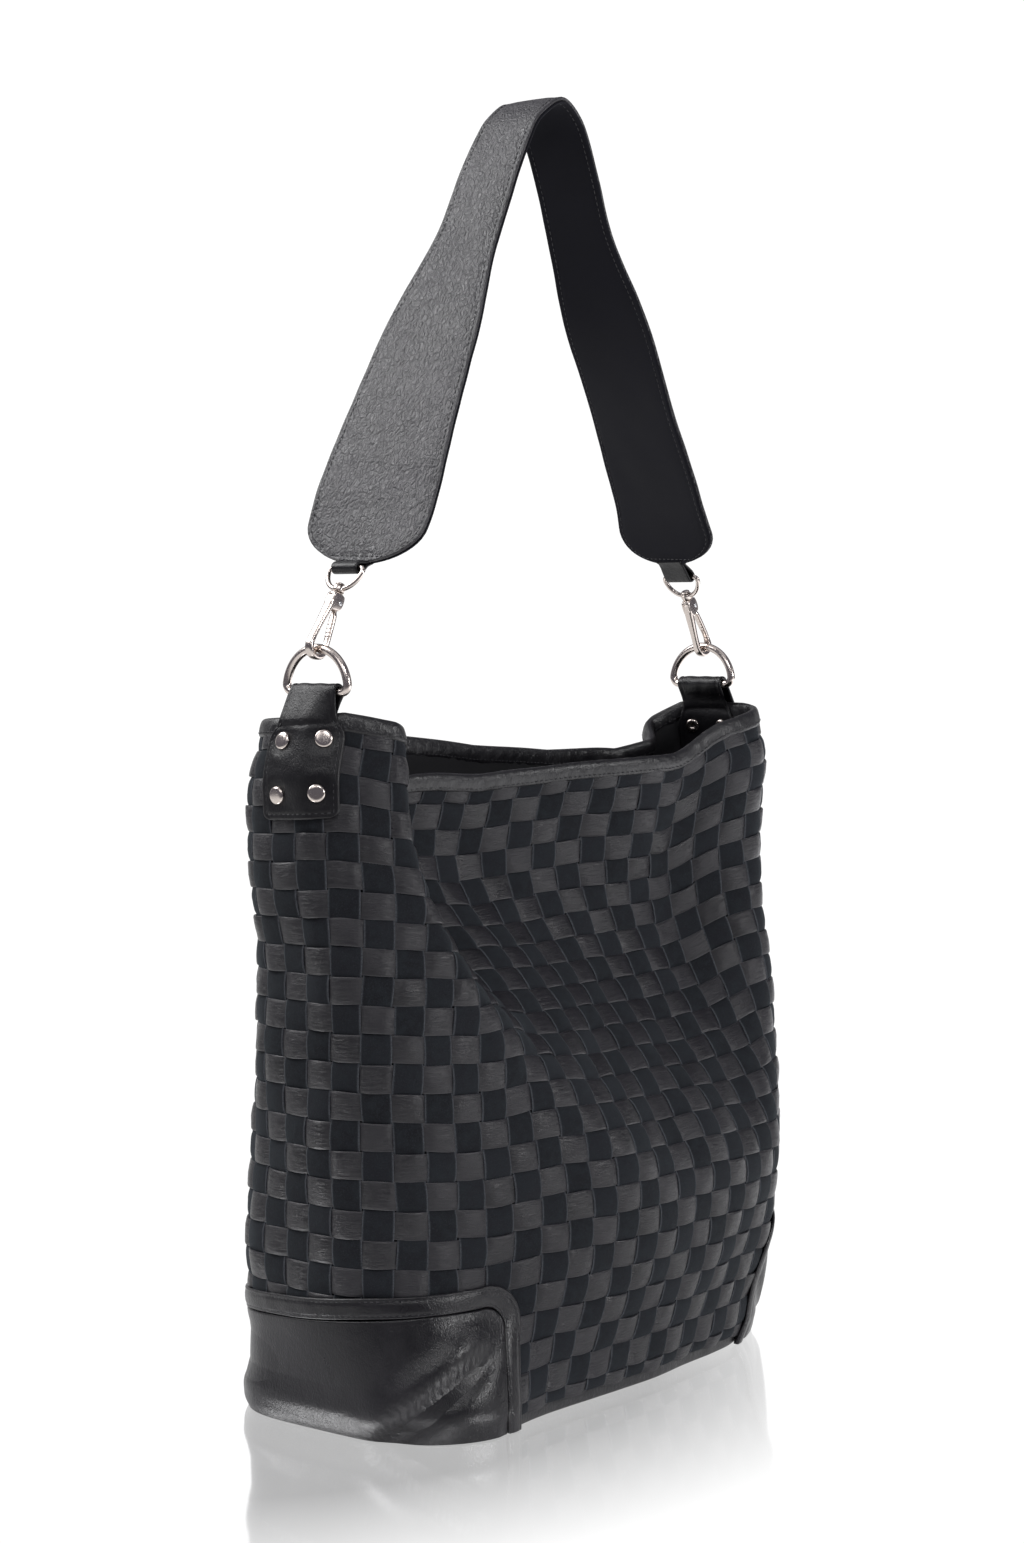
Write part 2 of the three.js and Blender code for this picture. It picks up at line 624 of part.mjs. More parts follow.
// A D-shaped path in the plane x = 0: an arc above, and a straight bar `drop` below the arc's
// centre, with rounded corners between them.
function ringPath(radius, corner, drop, arcSteps) {
  const lift = Math.asin((corner - drop) / (radius - corner));
  const cornerY = (radius - corner) * Math.cos(lift);
  const arc = (centreY, centreZ, size, from, to, steps) => range(from, to, steps)
    .map((angle) => V(0, centreY + size * Math.cos(angle), centreZ + size * Math.sin(angle)));
  return [
    ...arc(0, 0, radius, lift, Math.PI - lift, arcSteps),
    ...arc(-cornerY, corner - drop, corner, Math.PI - lift, 1.5 * Math.PI, 4).slice(1),
    ...arc(cornerY, corner - drop, corner, 1.5 * Math.PI, 2 * Math.PI + lift, 4).slice(0, -1),
  ];
}

function dRing() {
  return wire(ringPath(RING_RADIUS, RING_CORNER, RING_Z - RING_BAR_Z, 16), RING_WIRE, V(1, 0, 0), true);
}

// A domed outer cap, a shank and a flat inner cap, turned about the wall's normal.
function rivet({ point, normal }) {
  const outerFace = TAB_OUTSIDE + TAB_HALF + 3 * GAP;
  const innerFace = TAB_INSIDE - TAB_HALF - 2 * GAP;
  const profile = [
    [0, innerFace - 1.3], [RIVET_CAP_RADIUS - 1, innerFace - 1.2], [RIVET_CAP_RADIUS - 0.2, innerFace],
    [RIVET_SHANK_RADIUS, innerFace], [RIVET_SHANK_RADIUS, outerFace], [RIVET_CAP_RADIUS, outerFace],
    [RIVET_CAP_RADIUS, outerFace + 0.7], [RIVET_CAP_RADIUS * 0.8, outerFace + 1.8],
    [RIVET_CAP_RADIUS * 0.45, outerFace + 2.5], [0, outerFace + 2.7],
  ].map(([radius, height]) => new THREE.Vector2(radius, height));
  const turned = mergeVertices(bareCopy(new THREE.LatheGeometry(profile, 10)), 1e-4);
  turned.applyQuaternion(new THREE.Quaternion().setFromUnitVectors(V(0, 1, 0), normal));
  return turned.translate(point.x, point.y, point.z);
}

// ---- snap hooks ----------------------------------------------------------------------------------
// Drawn in the hook's own plane, u across and w along, then given a width across the bag.
function hookPlate(shape, width, curveSegments = 6) {
  const settings = { depth: width, bevelEnabled: false, curveSegments };
  const geometry = new THREE.ExtrudeGeometry(shape, settings).translate(0, 0, -width / 2);
  return mergeVertices(bareCopy(geometry.rotateX(Math.PI / 2)), 1e-4);
}

const HOOK_OUTER_RADIUS = HOOK_INNER_RADIUS + HOOK_METAL;
const BOSS_MIDDLE = HOOK_HEAD_TOP + GAP + BOSS_HEIGHT / 2;
const EYE_BAR = BOSS_MIDDLE + EYE_RADIUS + EYE_BAR_DROP;

function hookBody() {
  const shape = new THREE.Shape();
  shape.moveTo(-3.9, HOOK_HEAD_TOP);
  shape.lineTo(-HOOK_OUTER_RADIUS, 0);
  shape.absarc(0, 0, HOOK_OUTER_RADIUS, Math.PI, 2 * Math.PI, false);
  shape.lineTo(HOOK_OUTER_RADIUS, 1.6);
  shape.lineTo(HOOK_INNER_RADIUS, 1.6);
  shape.lineTo(HOOK_INNER_RADIUS, 0);
  shape.absarc(0, 0, HOOK_INNER_RADIUS, 2 * Math.PI, Math.PI, true);
  shape.lineTo(-1.2, 22);
  shape.lineTo(4.2, 22.5);
  shape.lineTo(4.2, HOOK_HEAD_TOP);
  const slot = new THREE.BoxGeometry(5.4, GATE_THICKNESS + 1.8, 9).translate(2.1, 0, 25.5);
  const pinHole = rod(V(GATE_PIN[0], 0, GATE_PIN[1]), V(0, 1, 0), 1.25, 12);
  const stem = rod(V(0, 0, BOSS_MIDDLE), V(0, 0, 1), STEM_RADIUS, BOSS_HEIGHT + 2, 10);
  const stemHead = rod(V(0, 0, BOSS_MIDDLE + BOSS_HEIGHT / 2 + GAP + 0.7), V(0, 0, 1), 2.5, 1.4, 10);
  const plain = cut(hookPlate(shape, HOOK_WIDTH), [slot, pinHole]);
  return join([plain, stem, stemHead]);
}

function gate() {
  const [pinU, pinW] = GATE_PIN;
  const shape = new THREE.Shape();
  shape.moveTo(pinU - 1.9, pinW);
  shape.absarc(pinU, pinW, 1.9, Math.PI, 0, true);
  shape.lineTo(6.9, 2.2);
  shape.lineTo(4.3, 2.2);
  const hole = rod(V(pinU, 0, pinW), V(0, 1, 0), 1.25, 12);
  return cut(hookPlate(shape, GATE_THICKNESS), [hole]);
}

const gatePin = () => rod(V(GATE_PIN[0], 0, GATE_PIN[1]), V(0, 1, 0), 0.9, HOOK_WIDTH + 0.8, 10);

// The small coil beside the gate that closes it, as a plain washer-shaped ring.
function gateSpring() {
  const ring = new THREE.Shape();
  ring.absarc(GATE_PIN[0], GATE_PIN[1], 1.9, 0, 2 * Math.PI, false);
  const bore = new THREE.Path();
  bore.absarc(GATE_PIN[0], GATE_PIN[1], 1.25, 0, 2 * Math.PI, true);
  ring.holes.push(bore);
  return hookPlate(ring, 0.5, 10).translate(0, GATE_THICKNESS / 2 + 0.3 + 0.25, 0);
}

// The swivel eye: a D-ring with its bar uppermost and a boss round the hook's stem.
function swivelEye() {
  const path = ringPath(EYE_RADIUS, 2.5, EYE_BAR_DROP, 12);
  const loop = wire(path, EYE_WIRE, V(1, 0, 0), true).rotateX(Math.PI)
    .translate(0, 0, BOSS_MIDDLE + EYE_RADIUS);
  const boss = rod(V(0, 0, BOSS_MIDDLE), V(0, 0, 1), 3.2, BOSS_HEIGHT, 12);
  const bore = rod(V(0, 0, BOSS_MIDDLE), V(0, 0, 1), STEM_RADIUS + GAP, 12, 10);
  return cut(join([loop, boss]), [bore]);
}

// The leather loop that holds the eye's bar: a drop-shaped band round the origin whose point
// reaches `length` up.
function strapLoop(length) {
  const middle = EYE_WIRE + GAP + LOOP_BAND / 2;
  const flank = [[middle, 3], [LOOP_BAND / 2, length - 2.5]];
  const path = [
    ...range(Math.PI, 2 * Math.PI, 6).map((angle) => [middle * Math.cos(angle), middle * Math.sin(angle)]),
    ...flank,
    [0, length - 1],
    ...flank.toReversed().map(([u, w]) => [-u, w]),
  ];
  const rows = path.map(([u, w], i) => {
    const before = path[(i - 1 + path.length) % path.length];
    const after = path[(i + 1) % path.length];
    const along = new THREE.Vector2(after[0] - before[0], after[1] - before[1]).normalize();
    const [outU, outW] = [along.y * LOOP_BAND / 2, -along.x * LOOP_BAND / 2];
    const half = LOOP_WIDTH / 2;
    return [
      V(u + outU, -half, w + outW), V(u + outU, half, w + outW),
      V(u - outU, half, w - outW), V(u - outU, -half, w - outW),
    ];
  });
  return loft(rows, true);
}

// ---- strap ------------------------------------------------------------------------------------
function strapCurve() {
  const shifted = (side, leg) => leg.map(([x, z]) => (
    V(side * x + CROWN_SHIFT * smoothstep(600, 700, z), 0, z)));
  const left = shifted(-1, STRAP_LEGS.left);
  const right = shifted(1, STRAP_LEGS.right).reverse();
  return new THREE.CatmullRomCurve3([...left, ...right], false, 'centripetal');
}

const strapLine = strapCurve();
const STRAP_LENGTH = strapLine.getLength();

function strapHalfWidth(fromEnd) {
  const full = lookUp(STRAP_HALF_WIDTHS, fromEnd);
  const end = clamp01(1 - fromEnd / PADDLE_END_LENGTH);
  return Math.max(full * Math.sqrt(1 - end ** 2), LOOP_WIDTH / 2 + 1);
}

function strapLayer(inner, outer) {
  const nearEnd = [0, 2, 5, 10, 15, PADDLE_END_LENGTH];
  const stops = [
    ...nearEnd,
    ...range(PADDLE_END_LENGTH, STRAP_LENGTH - PADDLE_END_LENGTH, 26).slice(1, -1),
    ...nearEnd.map((stop) => STRAP_LENGTH - stop).reverse(),
  ];
  const rows = stops.map((stop) => {
    const point = strapLine.getPointAt(clamp01(stop / STRAP_LENGTH));
    const along = strapLine.getTangentAt(clamp01(stop / STRAP_LENGTH));
    const normal = V(-along.z, 0, along.x);
    const half = strapHalfWidth(Math.min(stop, STRAP_LENGTH - stop));
    return [-half, half].map((y) => ({ point: point.clone().setY(y), normal }));
  });
  return sheet(rows, inner, outer);
}

addPiece('strap_outer', strapLayer(0.2, 0.2 + STRAP_OUTER_THICKNESS), leather);
addPiece('strap_lining', strapLayer(-0.2 - STRAP_LINING_THICKNESS, -0.2), leather);

// ---- both ends ----------------------------------------------------------------------------------
for (const [name, side] of [['left', -1], ['right', 1]]) {
  addPiece(`${name}_corner_panel`, cornerPanel(side), leather);
  addPiece(`${name}_corner_trim`, cornerTrim(side), leather);
  addPiece(`${name}_tab`, tab(side), leather);
  rivetSpots(side).forEach((spot, i) => addPiece(`${name}_rivet_${i + 1}`, rivet(spot), nickel));
  const ring = addPiece(`${name}_d_ring`, dRing(), nickel);
  ring.position.set(side * RING_X, 0, RING_Z);

  const hook = new THREE.Group();
  hook.position.set(side * RING_X, 0, HOOK_Z);
  hook.rotation.y = -side * HOOK_LEAN;
  bag.add(hook);
  addPiece(`${name}_hook_body`, hookBody(), nickel, hook);
  addPiece(`${name}_hook_gate`, gate(), nickel, hook);
  addPiece(`${name}_gate_pin`, gatePin(), steel, hook);
  addPiece(`${name}_gate_spring`, gateSpring(), steel, hook);
  addPiece(`${name}_swivel_eye`, swivelEye(), nickel, hook);

  const bar = V(
    side * (RING_X - EYE_BAR * Math.sin(HOOK_LEAN)), 0, HOOK_Z + EYE_BAR * Math.cos(HOOK_LEAN));
  const [endX, endZ] = STRAP_LEGS[name][0];
  const reach = V(side * endX, 0, endZ).sub(bar);
  const loop = addPiece(`${name}_strap_loop`, strapLoop(reach.length() - 1.5), leather);
  loop.position.copy(bar);
  loop.rotation.y = Math.atan2(reach.x, reach.z);
}

export default bag;
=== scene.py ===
"""A woven-leather shoulder bag standing on a pale studio floor."""
import math

import bpy
import numpy as np
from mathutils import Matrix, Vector


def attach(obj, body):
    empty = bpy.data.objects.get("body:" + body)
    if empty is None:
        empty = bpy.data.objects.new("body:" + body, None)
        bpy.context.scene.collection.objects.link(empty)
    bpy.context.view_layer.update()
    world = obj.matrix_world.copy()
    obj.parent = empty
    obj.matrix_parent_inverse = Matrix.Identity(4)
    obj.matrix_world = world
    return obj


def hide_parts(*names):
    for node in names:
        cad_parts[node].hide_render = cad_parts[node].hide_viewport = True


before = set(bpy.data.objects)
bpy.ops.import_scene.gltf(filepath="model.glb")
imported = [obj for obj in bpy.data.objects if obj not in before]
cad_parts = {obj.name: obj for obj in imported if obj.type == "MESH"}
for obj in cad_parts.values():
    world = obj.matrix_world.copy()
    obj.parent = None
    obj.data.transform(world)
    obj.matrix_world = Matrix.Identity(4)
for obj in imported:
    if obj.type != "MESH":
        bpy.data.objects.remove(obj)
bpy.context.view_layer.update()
MM = 0.001


# ---- small helpers
def ss(a, b, v):
    t = np.clip((v - a) / (b - a), 0.0, 1.0)
    return t * t * (3 - 2 * t)


def hill(v, centre, spread):
    return np.exp(-(((v - centre) / spread) ** 2))


def unit(v):
    return v / np.maximum(np.linalg.norm(v, axis=-1, keepdims=True), 1e-12)


def waves(a, b, seed, count=6, low=0.02, high=0.07):
    """A smooth wandering surface in two variables (millimetres), about -1 to 1."""
    rng = np.random.default_rng(seed)
    total = np.zeros(np.broadcast(a, b).shape)
    for _ in range(count):
        angle = rng.uniform(0, math.tau)
        pitch = rng.uniform(low, high)
        phase = rng.uniform(0, math.tau)
        total += np.sin((a * math.cos(angle) + b * math.sin(angle)) * pitch + phase)
    return total / math.sqrt(count)


def run_of(points):
    """Distance along a line at each of its points."""
    return np.concatenate([[0], np.cumsum(np.linalg.norm(np.diff(points, axis=0), axis=1))])


def read_at(where, run, values):
    """The columns of values, which belong to the places in run, read off at where."""
    return np.stack([np.interp(where, run, column) for column in values.T], -1)


# ---- the soft body's surface, in millimetres
COLUMNS = 480
WALL_HEIGHT = 376.0
STEP = 2.0


def half_length(z):
    return 170 + 8 * ss(0, 16, z) + 5 * ss(60, 300, z) - 8 * ss(335, 372, z)


def half_depth(z):
    return 77 + 4 * ss(0, 16, z) - 6 * ss(60, 200, z) - 14 * ss(180, 345, z) - 3 * ss(345, 372, z)


def squareness(z):
    return 4.2 - 0.9 * ss(120, 372, z)


def slumped_depth(x, y, z):
    front = ss(-6, 26, -y)
    back = ss(-6, 26, y)
    # the front is folded in: a lip at the left, a valley, and a crest below it
    lip = -144 + 46 * (1 - ss(130, 320, z))
    scoop = ss(lip, lip + 44 + 34 * (1 - ss(130, 260, z)), x)
    scoop = scoop * (1 - ss(98, 168, x)) * (1 - 0.33 * ss(-60, 110, x))
    crest_height = 160 - 52 * ss(-120, 40, x)
    valley_height = 290 - 45 * ss(-40, 80, x)
    rise = np.clip((z - crest_height) / (valley_height - crest_height), 0, 1)
    rise = rise * rise * (3 - 2 * rise)
    top = ss(0, 1, (z - valley_height) / (374 - valley_height))
    depth = 72 * rise * (1 - (0.24 + 0.30 * ss(-20, 100, x)) * top)
    crest = 14 * hill(z, 112, 70) * ss(-120, -20, x) * (1 - ss(120, 170, x))
    pinch = (28 * ss(170, 372, z) - 6 * hill(z, 190, 60)) * ss(-160, -110, x) * (1 - ss(132, 156, x))
    tuck = 12 * ss(250, 372, z) * ss(100, 150, x)
    # at the floor the near corner is pushed out and the rest of the front drawn in
    foot = (12 * hill(x, -135, 38) - 4 * ss(10, 60, x) - 3 * ss(100, 140, x)) * (1 - ss(8, 70, z))
    return y + front * (scoop * depth - crest - foot) - back * (pinch + tuck)


def half_level(z, from_angle):
    angle = np.linspace(from_angle, from_angle + math.pi, 1441)
    c, s = np.cos(angle), np.sin(angle)
    # the near left corner is rounder than the others above the base
    near_left = ss(-0.25, 0.25, -c) * ss(-0.25, 0.25, -s)
    power = 2 / (squareness(z) - 1.5 * near_left * ss(8, 100, z))
    x = half_length(z) * np.sign(c) * np.abs(c) ** power
    y = half_depth(z) * np.sign(s) * np.abs(s) ** power
    y = slumped_depth(x, y, z)
    length = np.concatenate([[0], np.cumsum(np.hypot(np.diff(x), np.diff(y)))])
    wanted = np.linspace(0, length[-1], COLUMNS // 2 + 1)[:-1]
    return read_at(wanted, length, np.stack([x, y, np.full(len(x), z)], 1))


def body_table():
    """Points of the body: [column, step], a step being STEP mm up the wall."""
    heights = np.arange(0, 390, STEP)
    levels = np.stack([np.vstack([half_level(z, math.pi), half_level(z, math.tau)]) for z in heights], 1)
    rise = np.linalg.norm(np.diff(levels, axis=1), axis=2)
    climb = np.concatenate([np.zeros((COLUMNS, 1)), np.cumsum(rise, 1)], 1)
    steps = np.arange(0, 384.1, STEP)
    table = np.empty((COLUMNS, len(steps), 3))
    for c in range(COLUMNS):
        for k in range(3):
            table[c, :, k] = np.interp(steps, climb[c], levels[c, :, k])
    return table


TABLE = body_table()
PERIMETER = float(np.linalg.norm(np.diff(np.vstack([TABLE[:, 8], TABLE[:1, 8]]), axis=0), axis=1).sum())


def smooth_table(table, passes=2):
    for _ in range(passes):
        table = 0.5 * table + 0.25 * (np.roll(table, 1, 0) + np.roll(table, -1, 0))
    return table


def drape(table):
    """The small, soft unevenness of hand-woven leather."""
    column = np.arange(COLUMNS) / COLUMNS
    up = np.arange(table.shape[1]) * STEP
    turn = column[:, None] * math.tau
    rise = up[None, :]
    normal = table_normals(table)
    ripple = (1.3 * np.sin(7 * turn + 0.021 * rise + 0.6) * np.sin(0.034 * rise + 3 * turn)
              + 0.9 * np.sin(13 * turn - 0.03 * rise) * np.sin(0.05 * rise + 1.0))
    fade = ss(20, 60, rise) * (1 - ss(330, 365, rise))
    return table + normal * (ripple * fade)[..., None]


def table_normals(table):
    side = np.roll(table, -2, 0) - np.roll(table, 2, 0)
    rise = np.gradient(table, axis=1)
    return unit(np.cross(side, rise))


def lean_corners(table):
    """The soft corners at the back left and front right stand out at the rim and pull in lower down."""
    around = np.arange(COLUMNS)[:, None] / COLUMNS
    up = np.arange(table.shape[1])[None, :] * STEP
    heights = [7, 28, 49, 91, 133, 217, 238, 259, 280, 301, 365]
    left = [0.5, -5.0, -5.4, -2.8, -4.4, -5.6, -5.5, -3.5, 1.4, 4.2, 5.6]
    steps = [0, 38, 62, 87, 111, 136, 160, 233, 257, 306, 355]
    right = [-8.0, -10.0, -10.5, -8.0, -4.2, -1.0, 0.6, -3.0, -3.4, 0.0, 6.0]
    out_left = np.array([-0.636, 0.772, 0.0])
    for centre, spread, at, by, way in ((0.935, 0.075, heights, left, 1), (0.435, 0.085, steps, right, -1)):
        gap = (around - centre + 0.5) % 1.0 - 0.5
        reach = np.interp(up, at, by) * np.exp(-(gap / spread) ** 2)
        table = table + way * out_left * reach[..., None]
    return table


def lower_rim(table):
    """The mouth hangs lower along the front, at the near corner and most of all along the back."""
    around = np.arange(COLUMNS)[:, None] / COLUMNS
    up = np.arange(table.shape[1])[None, :] * STEP
    places = [0.0, 0.025, 0.05, 0.075, 0.13, 0.155, 0.21, 0.25, 0.42, 0.475, 0.525,
              0.55, 0.585, 0.61, 0.68, 0.76, 0.84, 0.94, 1.0]
    drops = [5, 3, 6, 8, 4, 3, 8, 9, 9, 4, 3, 12, 17, 23, 24, 20, 12, 8, 5]
    table = table.copy()
    table[:, :, 2] -= np.interp(around, places, drops) * ss(190, 377, up)
    return table


TABLE = drape(lower_rim(lean_corners(smooth_table(TABLE))))
TABLE[:, :, :2] = smooth_table(TABLE)[:, :, :2]
NORMALS = table_normals(TABLE)


def sample(table, around, up):
    """Smooth lookup: around 0 to 1 from the middle of the left end, up in mm along the wall."""
    column = (np.asarray(around, float) % 1.0) * COLUMNS
    row = np.clip(np.asarray(up, float) / STEP, 0, table.shape[1] - 1.001)
    column, row = np.broadcast_arrays(column, row)
    c0 = np.floor(column).astype(int)
    r0 = np.floor(row).astype(int)
    fc = column - c0
    fr = row - r0

    def weights(t):
        return [-0.5 * t + t * t - 0.5 * t ** 3, 1 - 2.5 * t * t + 1.5 * t ** 3,
                0.5 * t + 2 * t * t - 1.5 * t ** 3, -0.5 * t * t + 0.5 * t ** 3]

    result = 0
    wr = weights(fr)
    wc = weights(fc)
    for i in range(4):
        ci = (c0 + i - 1) % COLUMNS
        for j in range(4):
            rj = np.clip(r0 + j - 1, 0, table.shape[1] - 1)
            result = result + (wc[i] * wr[j])[..., None] * table[ci, rj]
    return result


def wall(around, up, offset=0.0):
    """A point of the body moved outwards by offset."""
    normal = unit(sample(NORMALS, around, up))
    return sample(TABLE, around, up) + normal * np.asarray(offset, float)[..., None]


def wall_normal(around, up):
    return unit(sample(NORMALS, around, up))


# ---- mesh helpers
def quads_of(rows, columns, close_rows=False, close_columns=False, start=0):
    index = start + np.arange(rows * columns).reshape(rows, columns)
    if close_rows:
        index = np.vstack([index, index[:1]])
    if close_columns:
        index = np.hstack([index, index[:, :1]])
    return np.stack([index[:-1, :-1], index[:-1, 1:], index[1:, 1:], index[1:, :-1]], -1).reshape(-1, 4)


class Build:
    """Collects vertices (mm), faces, strip coordinates and tones, then makes one object."""

    def __init__(self):
        self.verts, self.faces, self.uvs, self.tones = [], [], [], []
        self.count = 0

    def grid(self, points, close_rows=False, close_columns=False, uv=None, tone=None, flip=False):
        rows, columns = points.shape[:2]
        faces = quads_of(rows, columns, close_rows, close_columns, self.count)
        if flip:
            faces = faces[:, ::-1]
        self.verts.append(points.reshape(-1, 3))
        self.faces.append(faces)
        uv = np.zeros((rows, columns, 2)) if uv is None else np.asarray(uv, float)
        tone = 0.0 if tone is None else tone
        self.uvs.append(uv.reshape(-1, 2))
        self.tones.append(np.broadcast_to(tone, (rows, columns)).reshape(-1))
        self.count += rows * columns
        return self

    def make(self, name, material, body, slot=None, sharp=None, replaces=()):
        verts = np.vstack(self.verts) * MM
        faces = np.vstack(self.faces)
        finish_mesh(name, verts, faces, material, body, sharp, replaces,
                    np.vstack(self.uvs), np.concatenate(self.tones))


def finish_mesh(name, verts, faces, material, body, sharp, replaces, uvs, tones):
    me = bpy.data.meshes.new(name)
    me.vertices.add(len(verts))
    me.vertices.foreach_set("co", np.asarray(verts, np.float32).ravel())
    loops = np.asarray(faces, np.int32).ravel()
    sides = faces.shape[1]
    me.loops.add(len(loops))
    me.loops.foreach_set("vertex_index", loops)
    me.polygons.add(len(faces))
    me.polygons.foreach_set("loop_start", np.arange(0, len(loops), sides, dtype=np.int32))
    me.update(calc_edges=True)
    me.validate()
    if uvs.any():
        layer = me.uv_layers.new(name="Strip")
        vertex_of = np.empty(len(me.loops), np.int32)
        me.loops.foreach_get("vertex_index", vertex_of)
        layer.data.foreach_set("uv", uvs[vertex_of].astype(np.float32).ravel())
    if tones.any():
        me.attributes.new("tone", "FLOAT", "POINT").data.foreach_set("value", tones.astype(np.float32))
    me.materials.append(material)
    me.shade_smooth()
    if sharp:
        me.set_sharp_from_angle(angle=math.radians(sharp))
    obj = bpy.data.objects.new(name, me)
    bpy.context.scene.collection.objects.link(obj)
    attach(obj, body)
    if replaces:
        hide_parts(*replaces)


def sweep(path, across, radius, closed=False, sides=16, squash=1.0):
    """A round bar along a path (n,3); across is the direction square to the path's plane."""
    path = np.asarray(path, float)
    if closed:
        along = np.roll(path, -1, 0) - np.roll(path, 1, 0)
    else:
        along = np.gradient(path, axis=0)
    along = unit(along)
    across = np.broadcast_to(np.asarray(across, float), path.shape)
    across = unit(across - along * (across * along).sum(-1, keepdims=True))
    out = np.cross(across, along)
    angle = np.arange(sides) * math.tau / sides
    radius = np.broadcast_to(np.asarray(radius, float), (len(path),))[:, None, None]
    return (path[:, None] + across[:, None] * np.cos(angle)[None, :, None] * radius * squash
            + out[:, None] * np.sin(angle)[None, :, None] * radius)


def lathe(profile, centre, axis, sides=28):
    """Rings of points for a profile of (radius, height) turned about axis through centre."""
    axis = unit(np.asarray(axis, float))
    helper = np.array([0, 0, 1.0]) if abs(axis[2]) < 0.9 else np.array([1.0, 0, 0])
    first = unit(np.cross(helper, axis))
    second = np.cross(axis, first)
    angle = np.arange(sides) * math.tau / sides
    ring = first * np.cos(angle)[:, None] + second * np.sin(angle)[:, None]
    profile = np.asarray(profile, float)
    return (np.asarray(centre, float) + axis * profile[:, 1, None, None]
            + ring[None] * profile[:, 0, None, None])


def round_profile(profile, times=2):
    """Cuts the corners of an open profile, keeping its two ends."""
    profile = np.asarray(profile, float)
    for _ in range(times):
        near = profile[:-1] * 0.75 + profile[1:] * 0.25
        far = profile[:-1] * 0.25 + profile[1:] * 0.75
        middle = np.stack([near, far], 1).reshape(-1, profile.shape[1])
        profile = np.vstack([profile[:1], middle[1:-1], profile[-1:]])
    return profile


STITCH_SINK = 0.05


def stitches(build, points, normals, pitch=3.2, length=2.2, radius=0.26, closed=False):
    """Threads along a line: one small capsule every pitch, sunk a little into the surface."""
    if closed:
        points = np.vstack([points, points[:1]])
        normals = np.vstack([normals, normals[:1]])
    run = run_of(points)
    count = max(int(run[-1] / pitch), 1)
    middles = (np.arange(count) + 0.5) * run[-1] / count
    # along the stitch, thickness, and height above the surface
    shape = np.array([[-1.0, 0.25, -0.55], [-0.8, 0.75, -0.1], [-0.35, 1.0, 0.12],
                      [0.35, 1.0, 0.12], [0.8, 0.75, -0.1], [1.0, 0.25, -0.55]])
    angle = np.arange(6) * math.tau / 6
    for middle in middles:
        where = np.clip(middle + shape[:, 0] * length / 2, 0, run[-1])
        spine = read_at(where, run, points)
        normal = unit(read_at(where, run, normals))
        along = unit(np.gradient(spine, axis=0) + 1e-9)
        side = np.cross(along, normal)
        thick = shape[:, 1] * radius
        centre = spine + normal * (shape[:, 2] * radius - STITCH_SINK)[:, None]
        ring = (centre[:, None] + side[:, None] * np.cos(angle)[None, :, None] * thick[:, None, None]
                + normal[:, None] * np.sin(angle)[None, :, None] * thick[:, None, None])
        build.grid(ring, close_columns=True)


